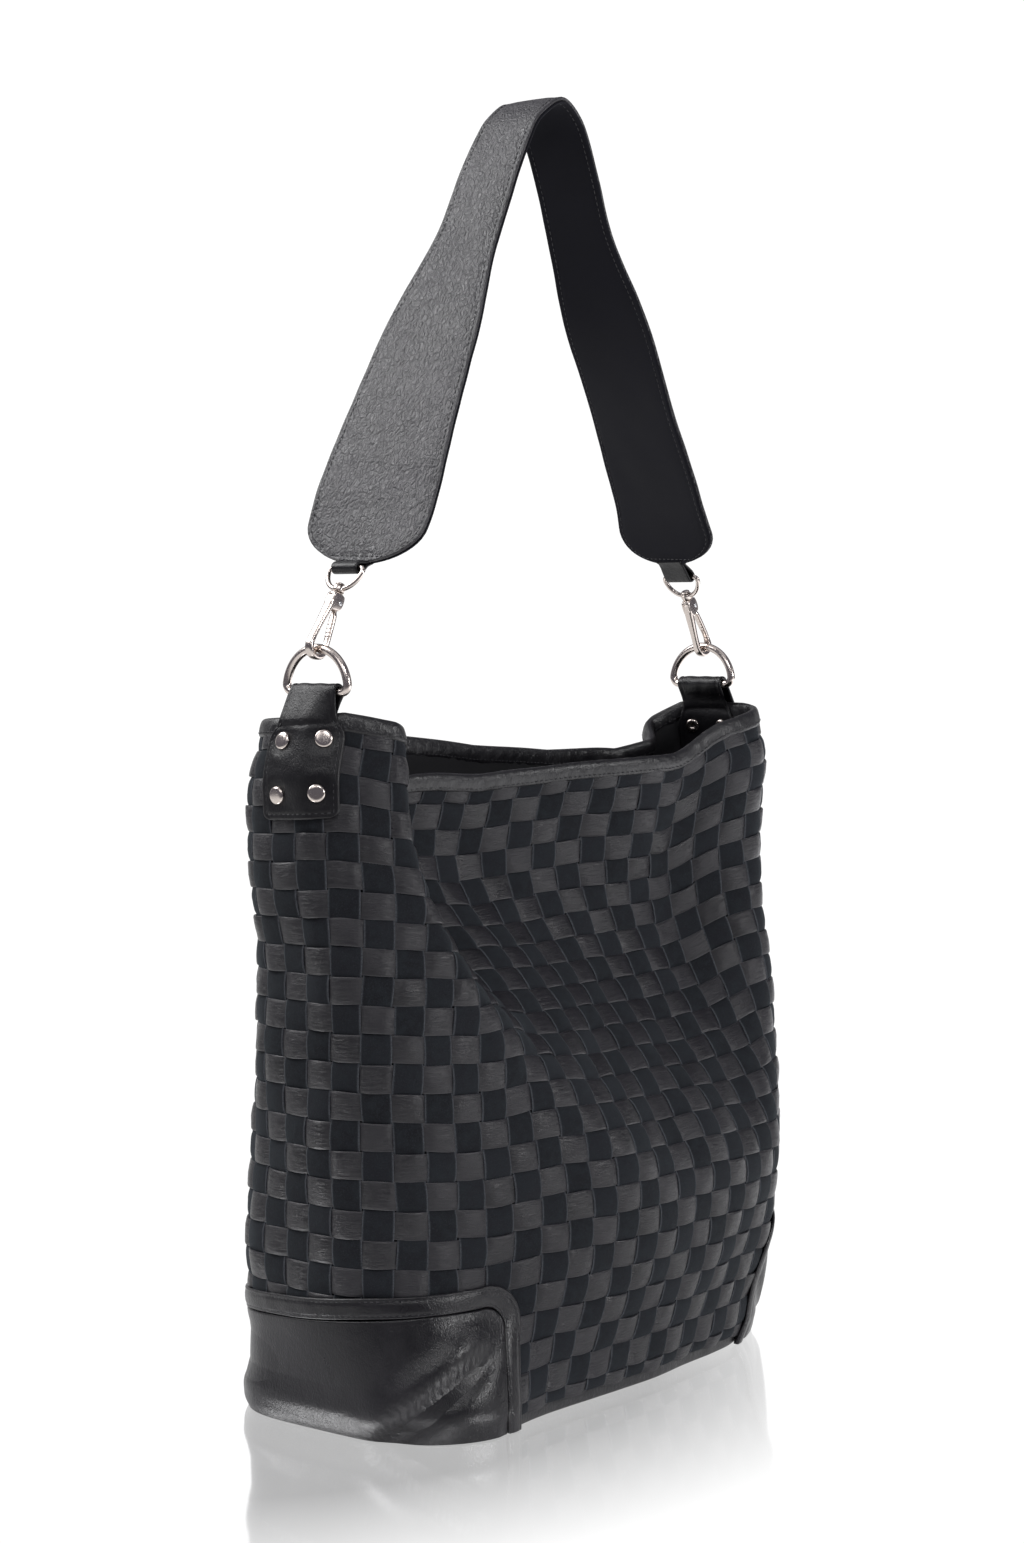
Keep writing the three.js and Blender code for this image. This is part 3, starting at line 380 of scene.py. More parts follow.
# ---- materials
class Tree:
    """A small wrapper for building node trees."""

    def __init__(self, tree):
        self.tree = tree
        tree.nodes.clear()

    def add(self, kind, **settings):
        node = self.tree.nodes.new(kind)
        for key, value in settings.items():
            setattr(node, key, value)
        return node

    def link(self, a, b):
        self.tree.links.new(a, b)

    def put(self, node, socket, value):
        """value is a number, a colour or an output to link."""
        target = node.inputs[socket]
        if isinstance(value, bpy.types.NodeSocket):
            self.link(value, target)
        else:
            target.default_value = value

    def fill(self, node, **values):
        """Puts several values into a node; an underscore stands for a space."""
        for key, value in values.items():
            self.put(node, key.replace("_", " "), value)
        return node

    def coords(self, scale=(1, 1, 1), source="Object", turn=(0, 0, 0), shift=(0, 0, 0)):
        if source == "Strip":
            vector = self.add("ShaderNodeUVMap", uv_map="Strip").outputs["UV"]
        else:
            vector = self.add("ShaderNodeTexCoord").outputs[source]
        mapping = self.add("ShaderNodeMapping")
        self.fill(mapping, Vector=vector, Location=shift, Rotation=turn, Scale=scale)
        return mapping.outputs["Vector"]

    def noise(self, vector, scale, detail=3.0, rough=0.55, distortion=0.0):
        node = self.add("ShaderNodeTexNoise")
        self.fill(node, Vector=vector, Scale=scale, Detail=detail, Roughness=rough, Distortion=distortion)
        return node.outputs["Fac"]

    def cells(self, vector, scale):
        """Distance to the edge of the nearest cell."""
        node = self.add("ShaderNodeTexVoronoi", feature="DISTANCE_TO_EDGE")
        return self.fill(node, Vector=vector, Scale=scale, Randomness=1.0).outputs["Distance"]

    def dot(self, vector, axis):
        node = self.add("ShaderNodeVectorMath", operation="DOT_PRODUCT")
        self.put(node, 0, vector)
        self.put(node, 1, axis)
        return node.outputs["Value"]

    def ramp(self, factor, *stops):
        """stops are (position, grey or colour)."""
        node = self.add("ShaderNodeValToRGB")
        elements = node.color_ramp.elements
        while len(elements) < len(stops):
            elements.new(0.5)
        for element, (position, value) in zip(elements, stops):
            element.position = position
            if not hasattr(value, "__len__"):
                value = (value, value, value)
            element.color = (*value, 1)
        self.link(factor, node.inputs["Fac"])
        return node.outputs["Color"]

    def math(self, kind, a, b=None):
        node = self.add("ShaderNodeMath", operation=kind)
        self.put(node, 0, a)
        if b is not None:
            self.put(node, 1, b)
        return node.outputs[0]

    def mix(self, factor, a, b):
        """a and b are colours or outputs; the colours' sockets are the node's seventh and eighth."""
        node = self.add("ShaderNodeMix", data_type="RGBA")
        self.put(node, 0, factor)
        for index, value in ((6, a), (7, b)):
            self.put(node, index, (*value, 1) if isinstance(value, tuple) else value)
        return node.outputs[2]

    def remap(self, value, a, b, c, d):
        """Takes a to c and b to d."""
        node = self.add("ShaderNodeMapRange")
        return self.fill(node, Value=value, From_Min=a, From_Max=b, To_Min=c, To_Max=d).outputs["Result"]

    def bump(self, height, strength, distance, below=None):
        node = self.add("ShaderNodeBump")
        self.fill(node, Height=height, Strength=strength, Distance=distance)
        if below is not None:
            self.link(below, node.inputs["Normal"])
        return node.outputs["Normal"]

    def attribute(self, name):
        return self.add("ShaderNodeAttribute", attribute_name=name).outputs["Fac"]


class Nodes(Tree):
    """The tree of a material with one shader."""

    def __init__(self, name):
        self.material = bpy.data.materials.new(name)
        self.material.use_nodes = True
        super().__init__(self.material.node_tree)
        self.out = self.add("ShaderNodeOutputMaterial")
        self.shader = self.add("ShaderNodeBsdfPrincipled")
        self.link(self.shader.outputs["BSDF"], self.out.inputs["Surface"])

    def set(self, **values):
        self.fill(self.shader, **values)

    def across_strip(self):
        """0 in the middle of a strip, 1 at its two edges."""
        split = self.add("ShaderNodeSeparateXYZ")
        self.link(self.coords(source="Strip"), split.inputs[0])
        return self.math("ABSOLUTE", split.outputs["Y"])


def grain_leather(name, dark, light, rough, grain, wrinkle, coarse, specular=0.5, creases=130):
    """Smooth black leather with a fine cell grain, soft wrinkles and uneven polish."""
    n = Nodes(name)
    where = n.coords()
    warp = n.coords(scale=(1.0, 1.0, 0.55), turn=(0.3, 0.2, 0.4))
    blotch = n.noise(where, 22, 4, 0.6)
    fine = n.cells(warp, grain)
    pebble = n.cells(warp, grain * 0.42)
    crease = n.noise(warp, creases, 5, 0.62, 0.7)
    folds = n.noise(n.coords(scale=(1, 1, 2.2), turn=(0.5, 0.1, 0.2)), 55, 4, 0.6, 1.2)
    tone = n.mix(n.ramp(blotch, (0.3, 0.0), (0.7, 1.0)), dark, light)
    n.set(Base_Color=n.mix(n.ramp(fine, (0.0, 0.75), (0.12, 1.0)), dark, tone))
    polish = n.math("ADD", n.remap(blotch, 0.3, 0.7, rough - 0.05, rough + 0.06),
                    n.remap(crease, 0.3, 0.7, 0.06, -0.05))
    n.set(Roughness=polish)
    first = n.bump(n.ramp(fine, (0.0, 0.0), (0.25, 1.0)), 0.35, 0.00012)
    second = n.bump(n.ramp(pebble, (0.0, 0.0), (0.2, 1.0)), coarse, 0.0002, first)
    third = n.bump(n.ramp(crease, (0.35, 0.0), (0.65, 1.0)), wrinkle, 0.0009, second)
    n.set(Normal=n.bump(folds, wrinkle * 0.8, 0.002, third))
    n.set(Specular_IOR_Level=specular)
    return n.material


def strip_leather(name):
    """Glossy strips: fine creases along the strip, edges painted lighter as a painted highlight, each cell a
    little different.
    """
    n = Nodes(name)
    tone = n.attribute("tone")
    along = n.coords(scale=(0.07, 2.6, 1), source="Strip")
    streak = n.noise(along, 1.6, 5, 0.65, 0.4)
    cracks = n.noise(n.coords(scale=(0.10, 4.2, 1), source="Strip"), 1.1, 6, 0.7, 0.9)
    where = n.coords()
    blotch = n.noise(where, 60, 4, 0.6)
    pores = n.cells(where, 1500)
    # both edges of each strip are painted lighter: a painted highlight standing in for light caught on the
    # edges
    edge = n.ramp(n.across_strip(), (0.90, 0.0), (0.98, 1.0))
    low = n.mix(tone, (0.0034, 0.0032, 0.0046), (0.0095, 0.0088, 0.0118))
    body = n.mix(n.ramp(blotch, (0.3, 0.0), (0.72, 1.0)), low, (0.0118, 0.0108, 0.0140))
    # the pale colour mixed in at the edges is the painted highlight
    n.set(Base_Color=n.mix(n.math("MULTIPLY", edge, 0.6), body, (0.040, 0.039, 0.044)))
    gloss = n.math("ADD", n.remap(streak, 0.3, 0.7, 0.30, 0.46), n.remap(tone, 0, 1, -0.05, 0.07))
    n.set(Roughness=gloss)
    first = n.bump(n.ramp(pores, (0.0, 0.0), (0.2, 1.0)), 0.25, 0.00008)
    second = n.bump(n.ramp(cracks, (0.42, 0.0), (0.5, 1.0)), 0.35, 0.00022, first)
    n.set(Normal=n.bump(n.ramp(streak, (0.3, 0.0), (0.7, 1.0)), 0.5, 0.0004, second))
    n.set(Specular_IOR_Level=0.40)
    return n.material


def strip_suede(name):
    """Matt strips of suede: short nap, blue-green black, edges painted lighter, partly real fuzz and partly a
    painted highlight.
    """
    n = Nodes(name)
    tone = n.attribute("tone")
    where = n.coords()
    nap = n.noise(where, 1400, 4, 0.75)
    patch = n.noise(where, 160, 5, 0.7, 0.6)
    # both edges of each strip are painted lighter: real frayed fuzz together with a painted highlight of
    # light caught on the edges
    edge = n.ramp(n.across_strip(), (0.86, 0.0), (0.98, 1.0))
    low = n.mix(tone, (0.0040, 0.0042, 0.0062), (0.0082, 0.0086, 0.0118))
    rubbed = n.mix(n.ramp(patch, (0.4, 0.0), (0.72, 1.0)), low, (0.012, 0.0145, 0.0175))
    fuzz = n.mix(n.ramp(nap, (0.5, 0.0), (0.75, 1.0)), rubbed, (0.018, 0.0215, 0.0255))
    fray_and_highlight = n.math("MULTIPLY", edge, n.ramp(nap, (0.3, 0.15), (0.6, 0.75)))
    # the pale colour mixed in at the edges is fuzz and painted highlight together
    n.set(Base_Color=n.mix(fray_and_highlight, fuzz, (0.085, 0.091, 0.102)))
    n.set(Roughness=n.remap(patch, 0.3, 0.7, 0.85, 0.98))
    first = n.bump(nap, 0.55, 0.0003)
    n.set(Normal=n.bump(patch, 0.3, 0.0006, first))
    n.set(Specular_IOR_Level=0.20)
    n.set(Sheen_Weight=0.05)
    n.set(Sheen_Roughness=0.45)
    n.set(Sheen_Tint=(0.75, 0.9, 1.0, 1))
    return n.material


def nappa_back(name):
    """The strap's matt inner face."""
    n = Nodes(name)
    where = n.coords()
    nap = n.noise(where, 1100, 4, 0.7)
    patch = n.noise(where, 35, 5, 0.6)
    worn = n.ramp(patch, (0.3, 0.0), (0.7, 1.0))
    n.set(Base_Color=n.mix(worn, (0.0038, 0.0038, 0.0068), (0.0060, 0.0060, 0.0098)))
    n.set(Roughness=n.remap(patch, 0.3, 0.7, 0.78, 0.9))
    n.set(Normal=n.bump(nap, 0.35, 0.0002))
    n.set(Specular_IOR_Level=0.18)
    n.set(Sheen_Weight=0.03)
    return n.material


def lining_cloth(name):
    n = Nodes(name)
    where = n.coords()
    weave_a = n.add("ShaderNodeTexWave", wave_type="BANDS", bands_direction="X")
    weave_b = n.add("ShaderNodeTexWave", wave_type="BANDS", bands_direction="Z")
    for node in (weave_a, weave_b):
        n.fill(node, Vector=where, Scale=420, Distortion=0.6)
    threads = n.math("MAXIMUM", weave_a.outputs["Fac"], weave_b.outputs["Fac"])
    patch = n.noise(where, 30, 4, 0.6)
    worn = n.ramp(patch, (0.3, 0.0), (0.7, 1.0))
    n.set(Base_Color=n.mix(worn, (0.006, 0.006, 0.007), (0.012, 0.012, 0.014)))
    n.set(Roughness=n.remap(patch, 0.3, 0.7, 0.75, 0.92))
    n.set(Normal=n.bump(threads, 0.3, 0.0002))
    n.set(Specular_IOR_Level=0.3)
    return n.material


def nickel(name, colour=(0.62, 0.555, 0.515), rough=0.17):
    """Plated metal: even colour, faint clouding, hairline scratches."""
    n = Nodes(name)
    where = n.coords()
    cloud = n.noise(where, 90, 4, 0.6)
    scratch = n.noise(n.coords(scale=(1, 0.12, 1), turn=(0.4, 0.9, 0.2)), 1500, 2, 0.5)
    n.set(Base_Color=n.mix(n.ramp(cloud, (0.3, 0.0), (0.7, 1.0)), colour, tuple(0.88 * c for c in colour)))
    n.set(Metallic=1.0)
    clouded = n.remap(cloud, 0.3, 0.7, rough, rough + 0.08)
    n.set(Roughness=n.math("ADD", clouded, n.remap(scratch, 0.5, 0.8, 0.0, 0.12)))
    n.set(Normal=n.bump(scratch, 0.02, 0.00005))
    return n.material


def fibre_board(name):
    n = Nodes(name)
    where = n.coords()
    fibre = n.noise(where, 420, 5, 0.7)
    n.set(Base_Color=n.mix(n.ramp(fibre, (0.3, 0.0), (0.7, 1.0)), (0.20, 0.15, 0.10), (0.32, 0.26, 0.19)))
    n.set(Roughness=n.remap(fibre, 0.3, 0.7, 0.8, 0.95), Normal=n.bump(fibre, 0.3, 0.0002))
    return n.material


def thread(name):
    n = Nodes(name)
    twist = n.add("ShaderNodeTexWave", wave_type="BANDS", bands_direction="DIAGONAL")
    n.fill(twist, Vector=n.coords(), Scale=900)
    ply = twist.outputs["Fac"]
    n.set(Base_Color=n.mix(ply, (0.010, 0.010, 0.012), (0.030, 0.030, 0.034)))
    n.set(Roughness=n.remap(ply, 0, 1, 0.4, 0.6), Normal=n.bump(ply, 0.4, 0.0001))
    return n.material


LEATHER_STRIP = strip_leather("leather_strip")
SUEDE_STRIP = strip_suede("suede_strip")
PANEL_LEATHER = grain_leather("panel_leather", (0.0055, 0.0052, 0.0065), (0.0110, 0.0102, 0.0128),
                              rough=0.34, grain=1100, wrinkle=0.10, coarse=0.2, specular=0.4)
STRAP_LEATHER = grain_leather("strap_leather", (0.009, 0.0084, 0.0108), (0.030, 0.028, 0.0335),
                              rough=0.42, grain=1000, wrinkle=0.45, coarse=1.0, specular=0.72, creases=300)
BINDING_LEATHER = grain_leather("binding_leather", (0.0050, 0.0048, 0.0060), (0.0105, 0.0100, 0.0120),
                                rough=0.38, grain=1200, wrinkle=0.22, coarse=0.3)
TAB_LEATHER = grain_leather("tab_leather", (0.0040, 0.0038, 0.0048), (0.0080, 0.0075, 0.0094),
                            rough=0.36, grain=1300, wrinkle=0.12, coarse=0.2, specular=0.32)
STRAP_BACK = nappa_back("strap_back")
LINING = lining_cloth("lining_cloth")
NICKEL = nickel("nickel_plate")
STEEL = nickel("plain_steel", (0.55, 0.55, 0.56), 0.28)
BOARD = fibre_board("fibre_board")
THREAD = thread("black_thread")


# ---- the weave
CELLS_AROUND = 54
ROWS = 25
PITCH = 15.0
FOOT, TOP = 8.6, 369.4
SIDES = {"left": (-4, 5), "front": (5, 23), "right": (23, 32), "back": (32, 50)}
# across a strip: position from -1 to 1 and height in mm above the strip's middle
SECTION = np.array([[-1.0, -0.55], [-1.0, 0.08], [-0.95, 0.30], [-0.80, 0.44], [-0.40, 0.60], [0.0, 0.66],
                    [0.40, 0.60], [0.80, 0.44], [0.95, 0.30], [1.0, 0.08], [1.0, -0.55]])
STEPS_PER_CELL = 8


# the corner panels, in mm from the middle of the bag's ends
PANEL_REACHES = {-1: 127.0, 1: 109.0}
PANEL_HEIGHT, PANEL_RADIUS, PANEL_TILT, TRIM_WIDTH = 72.0, 26.0, 0.08, 11.0


def tilt(side, away):
    """The panel's top edge rises a little towards the front."""
    return -side * PANEL_TILT * away


def under_panel(around, up):
    """1 where a corner panel or its trim presses the weave flat."""
    covered = 0
    for side, middle in ((-1, 0.0), (1, 0.5)):
        away = ((around - middle + 0.5) % 1 - 0.5) * PERIMETER
        beside = ss(1, 8, PANEL_REACHES[side] - np.abs(away))
        below = ss(1, 8, PANEL_HEIGHT + tilt(side, away) - up)
        covered = covered + beside * below
    return covered


def pressed(lift, around, up):
    """The height of a strip, laid flat where a corner panel covers it."""
    covered = under_panel(around, up)
    return lift * (1 - 0.75 * covered) - 0.7 * covered


def passing(cells, flatness):
    """+1 where a strip lies on top, -1 where it passes beneath."""
    return np.tanh(flatness * np.cos(math.pi * cells)) / math.tanh(flatness)


def leather_row(build, row, first, last):
    """A strip that runs round the body, from under one crossing to under another."""
    start = first + (0.5 if (first - row) % 2 else -0.5)
    stop = last + (0.5 if (last - row) % 2 else -0.5)
    along = np.linspace(start, stop, int((stop - start) * STEPS_PER_CELL) + 1)[:, None]
    across = SECTION[None, :, 0]
    rng = np.random.default_rng(1000 + row)
    tones = rng.uniform(0, 1, 200)
    tilts = rng.uniform(-1, 1, 200)
    puffs = rng.uniform(0, 1, 200)
    cell = np.floor(along).astype(int) % CELLS_AROUND
    height = passing(along - 0.5 - row, 1.35)
    on_top = np.clip(height, 0, 1)
    half = PITCH * 0.474 * (1 + 0.012 * np.sin(along * 2.1 + row * 1.7)) + 0.12 * on_top
    wander = 0.3 * np.sin(along * 0.9 + row * 2.3) + 0.22 * np.sin(along * 2.7 + row)
    up = (row + 0.5) * PITCH + wander + across * half
    lift = 1.15 * height + SECTION[None, :, 1] * (1.15 + 0.6 * on_top * puffs[cell])
    lift = lift + 0.75 * tilts[cell] * on_top * across
    crumple = 0.10 * waves(along * 15, across * 7.3, 50 + row, 5, 0.5, 1.5) * on_top
    around = along / CELLS_AROUND + 0 * across
    points = wall(around, np.clip(up, FOOT - 1.5, TOP + 1), pressed(lift + crumple, around, up))
    uv = np.stack(np.broadcast_arrays(along * PITCH + 171.0 * row, across), -1)
    build.grid(points, close_columns=True, uv=uv, tone=0.02 + tones[cell], flip=True)


def suede_column(build, column):
    """A strip that climbs from the base to the rim."""
    steps = int((TOP - FOOT) / PITCH * STEPS_PER_CELL)
    rise = np.linspace(FOOT, TOP, steps + 1)[:, None]
    rows = rise / PITCH
    across = SECTION[None, :, 0]
    rng = np.random.default_rng(3000 + column % CELLS_AROUND)
    tones = rng.uniform(0, 1, ROWS + 2)
    tilts = rng.uniform(-1, 1, ROWS + 2)
    cell = np.floor(rows).astype(int)
    height = passing(rows - 1.5 - column, 1.5)
    on_top = np.clip(height, 0, 1)
    half = 0.480 * (1 + 0.015 * np.sin(rows * 1.9 + column * 1.3)) + 0.006 * on_top
    wander = 0.022 * np.sin(rows * 0.8 + column * 2.9) + 0.014 * np.sin(rows * 2.3 + column)
    around = (column + 0.5 + wander + across * half) / CELLS_AROUND
    lift = 0.95 * height + SECTION[None, :, 1] + 0.3 * tilts[cell] * on_top * across
    rough = 0.09 * waves(rise, across * 7.3, 90 + column, 5, 0.6, 2.0) * on_top
    up = rise + 0 * across
    points = wall(around, up, pressed(lift + rough, around, up))
    uv = np.stack(np.broadcast_arrays(rise + 133.0 * column, across), -1)
    build.grid(points, close_columns=True, uv=uv, tone=0.02 + tones[cell])


for side, (first, last) in SIDES.items():
    replaced = (f"{side}_woven_wall",)
    leather = Build()
    for row in range(ROWS):
        leather_row(leather, row, first, last)
    leather.make(f"{side}_leather_strips", LEATHER_STRIP, "root", "woven_leather", 40, replaced)
    suede = Build()
    for column in range(first, last):
        suede_column(suede, column)
    suede.make(f"{side}_suede_strips", SUEDE_STRIP, "root", "woven_leather", 40, replaced)


# ---- lining
def make_lining():
    around = np.linspace(0, 1, 361)[:-1][None, :]
    up = np.linspace(4.0, 368.5, 90)[:, None]
    along = around * PERIMETER
    soft = 0.5 * waves(along, up, 7, 6, 0.02, 0.06) + 0.25 * waves(along, up * 0.35, 8, 6, 0.05, 0.14)
    soft = soft * ss(0, 40, up) * (1 - ss(330, 366, up))
    outer = wall(around, up, -1.75 + 0 * soft)
    inner = wall(around, up, -2.55 + 0.45 * (soft - 0.9))
    build = Build()
    build.grid(outer, close_columns=True)
    build.grid(inner, close_columns=True, flip=True)
    build.make("lining_walls_cloth", LINING, "root", "lining_cloth", None, ("lining_walls",))


def level_normal(around):
    """The body's normal at its foot, laid level."""
    flat = wall_normal(around, 1.0)
    flat[:, 2] = 0
    return unit(flat)


def base_outline(inset, z, count=240):
    around = np.arange(count) / count
    points = sample(TABLE, around, 0.0) - level_normal(around) * inset
    points[:, 2] = z
    return points


def disc(inset, bottom, top, seed, puff=0.3):
    """A rounded plate inside the base outline, from the middle of its underside to the middle of its top."""
    outline = base_outline(inset, 0)
    scales = np.concatenate([np.linspace(0.02, 0.97, 26), [0.985, 0.993]])
    rings = [outline * scale + [0, 0, bottom] for scale in scales]
    middle = (bottom + top) / 2
    rings.append(outline * 0.999 + [0, 0, middle - 0.2 * (top - bottom)])
    rings.append(outline * 0.999 + [0, 0, middle + 0.2 * (top - bottom)])
    for scale in scales[::-1]:
        ring = outline * scale + [0, 0, top]
        ring[:, 2] += puff * waves(ring[:, 0], ring[:, 1], seed, 6, 0.02, 0.08) * (1 - ss(0.85, 1.0, scale))
        rings.append(ring)
    return np.stack(rings)


make_lining()
Build().grid(disc(6.6, 4.9, 6.0, 21), close_columns=True).make(
    "lining_base_cloth", LINING, "root", "lining_cloth", 50, ("lining_base",))
Build().grid(disc(4.3, 0.0, 2.2, 22, 0.0), close_columns=True).make(
    "base_panel_leather", PANEL_LEATHER, "root", "smooth_leather", 50, ("base_panel",))


def make_base_roll():
    # distance inside the base outline, and height
    section = round_profile([[4, 0.0], [0.6, 0.0], [-1.3, 1.2], [-1.9, 4.2], [-1.7, 7.0], [-0.6, 9.0],
                             [1.6, 9.6], [4, 9.0]], 3)
    count = 480
    around = np.arange(count) / count
    wrinkle = 0.22 * waves(around * PERIMETER, around * 0, 31, 7, 0.05, 0.35)
    rows = []
    for inset, z in section:
        puff = (wrinkle * hill(z, 5, 4))[:, None]
        rows.append(base_outline(inset, z, count) + level_normal(around) * puff)
    Build().grid(np.stack(rows), close_columns=True).make(
        "base_roll_leather", BINDING_LEATHER, "root", "smooth_leather", None, ("base_roll",))
    build = Build()
    line = base_outline(-0.3, 9.15, 360)
    stitches(build, line, np.tile([0.0, 0.0, 1.0], (len(line), 1)),
             pitch=3.6, length=2.4, radius=0.3, closed=True)
    build.make("base_roll_stitches", THREAD, "root", "smooth_leather")


make_base_roll()


# ---- bound rim
def make_binding():
    # distance outside the wall, and height along it
    section = round_profile([[1.45, 367.0], [2.3, 367.6], [2.65, 370.0], [2.5, 373.6], [1.4, 376.4],
                             [-0.6, 377.2], [-2.4, 376.2], [-3.3, 373.4], [-3.4, 369.6], [-2.9, 367.2],
                             [-2.3, 366.8]])
    count = 620
    around = np.arange(count)[None, :] / count
    offset = section[:, :1]
    up = section[:, 1:]
    along = around * PERIMETER
    pucker = 0.13 * waves(along, up, 41, 6, 0.25, 0.9) + 0.16 * waves(along, up * 0, 42, 5, 0.06, 0.2)
    high = up + 0.25 * waves(along, up * 0, 43, 5, 0.02, 0.09)
    points = wall(around, high, offset + pucker * np.sign(offset))
    Build().grid(points, close_columns=True).make(
        "rim_binding_leather", BINDING_LEATHER, "root", "smooth_leather", None, ("rim_binding",))
    build = Build()
    line = np.arange(900) / 900
    # height along the wall and distance from it, outside and inside the bag
    for way, up, lift in ((1, 369.3, 2.75), (-1, 369.0, -3.45)):
        stitches(build, wall(line, up, lift), way * wall_normal(line, up), closed=True)
    build.make("rim_stitches", THREAD, "root", "smooth_leather")


make_binding()


# ---- slabs: leather pieces with rounded edges
def slab(build, points, normals, low, high, distance, radius=1.0, uv=None):
    """A layer from low to high about a grid of points; distance (mm) to the border rounds its edges."""
    middle = (np.asarray(low, float) + np.asarray(high, float)) / 2
    part = np.clip(distance / radius, 0, 1)
    full = np.sqrt(np.clip(1 - (1 - part) ** 2, 0, 1))
    top = middle + (high - middle) * full
    bottom = middle - (middle - low) * full
    build.grid(points + normals * top[..., None], uv=uv)
    build.grid(points + normals * bottom[..., None], uv=uv, flip=True)


def grid_normals(points):
    return unit(np.cross(np.gradient(points, axis=1), np.gradient(points, axis=0)))


def edge_spacing(count, tight=0.35):
    """Positions from -1 to 1, closer together near both ends."""
    t = np.linspace(-1, 1, count)
    return (1 - tight) * t + tight * np.sin(t * math.pi / 2)


# ---- corner panels and their trim
PANEL_FOOT = 0.7
PANEL_LIFT = 1.6
TRIM_GAP = 0.3
TRIM_STITCHES = (1.9, TRIM_WIDTH - 1.6)


def arch(away, reach, height, radius):
    past = np.maximum(np.abs(away) - (reach - radius), 0)
    return height - radius + np.sqrt(np.maximum(radius ** 2 - past ** 2, 0))


def foot_flare(up):
    """How far the leather stands out just above the floor."""
    return 1.4 * hill(up, 4, 7)


def slump(away, up, side):
    """Folds of the thin leather over the lower ends of the body."""
    towards_front = away if side < 0 else -away
    # one sharp fold runs up towards the front from the base's corner
    a0, u0, a1, u1 = 44.0, 6.0, 108.0, 55.0
    length = math.hypot(a1 - a0, u1 - u0)
    da, du = (a1 - a0) / length, (u1 - u0) / length
    run = (towards_front - a0) * da + (up - u0) * du
    off = (towards_front - a0) * du - (up - u0) * da
    window = ss(-14, 14, run) * (1 - ss(length - 26, length + 4, run))
    fold = (3.4 * hill(off, -7, 9) - 3.4 * hill(off, 8, 7)) * window
    phase = run * 1.5 + 2.2 * np.sin(off * 0.5) + 0.5 * np.sin(run * 0.7)
    fine = 0.26 * np.sin(phase) * hill(off, 0.5, 6) * window
    fine += 0.10 * np.sin(run * 3.7 + off * 1.3) * hill(off, 1, 5) * window
    waist = -2.4 * hill(up, 30, 15) * ss(8, 60, -towards_front)
    waist = waist - 1.2 * hill(up, 34, 20) * ss(60, -40, towards_front)
    broad = 0.7 * waves(away, up, 60 + side, 5, 0.02, 0.07)
    edge = ss(0, 14, up) * 0.4 + 0.6
    strength = 1.0 if side < 0 else 0.55
    return (fold + fine) * edge * strength + waist * strength + foot_flare(up) + broad * ss(0, 20, up)


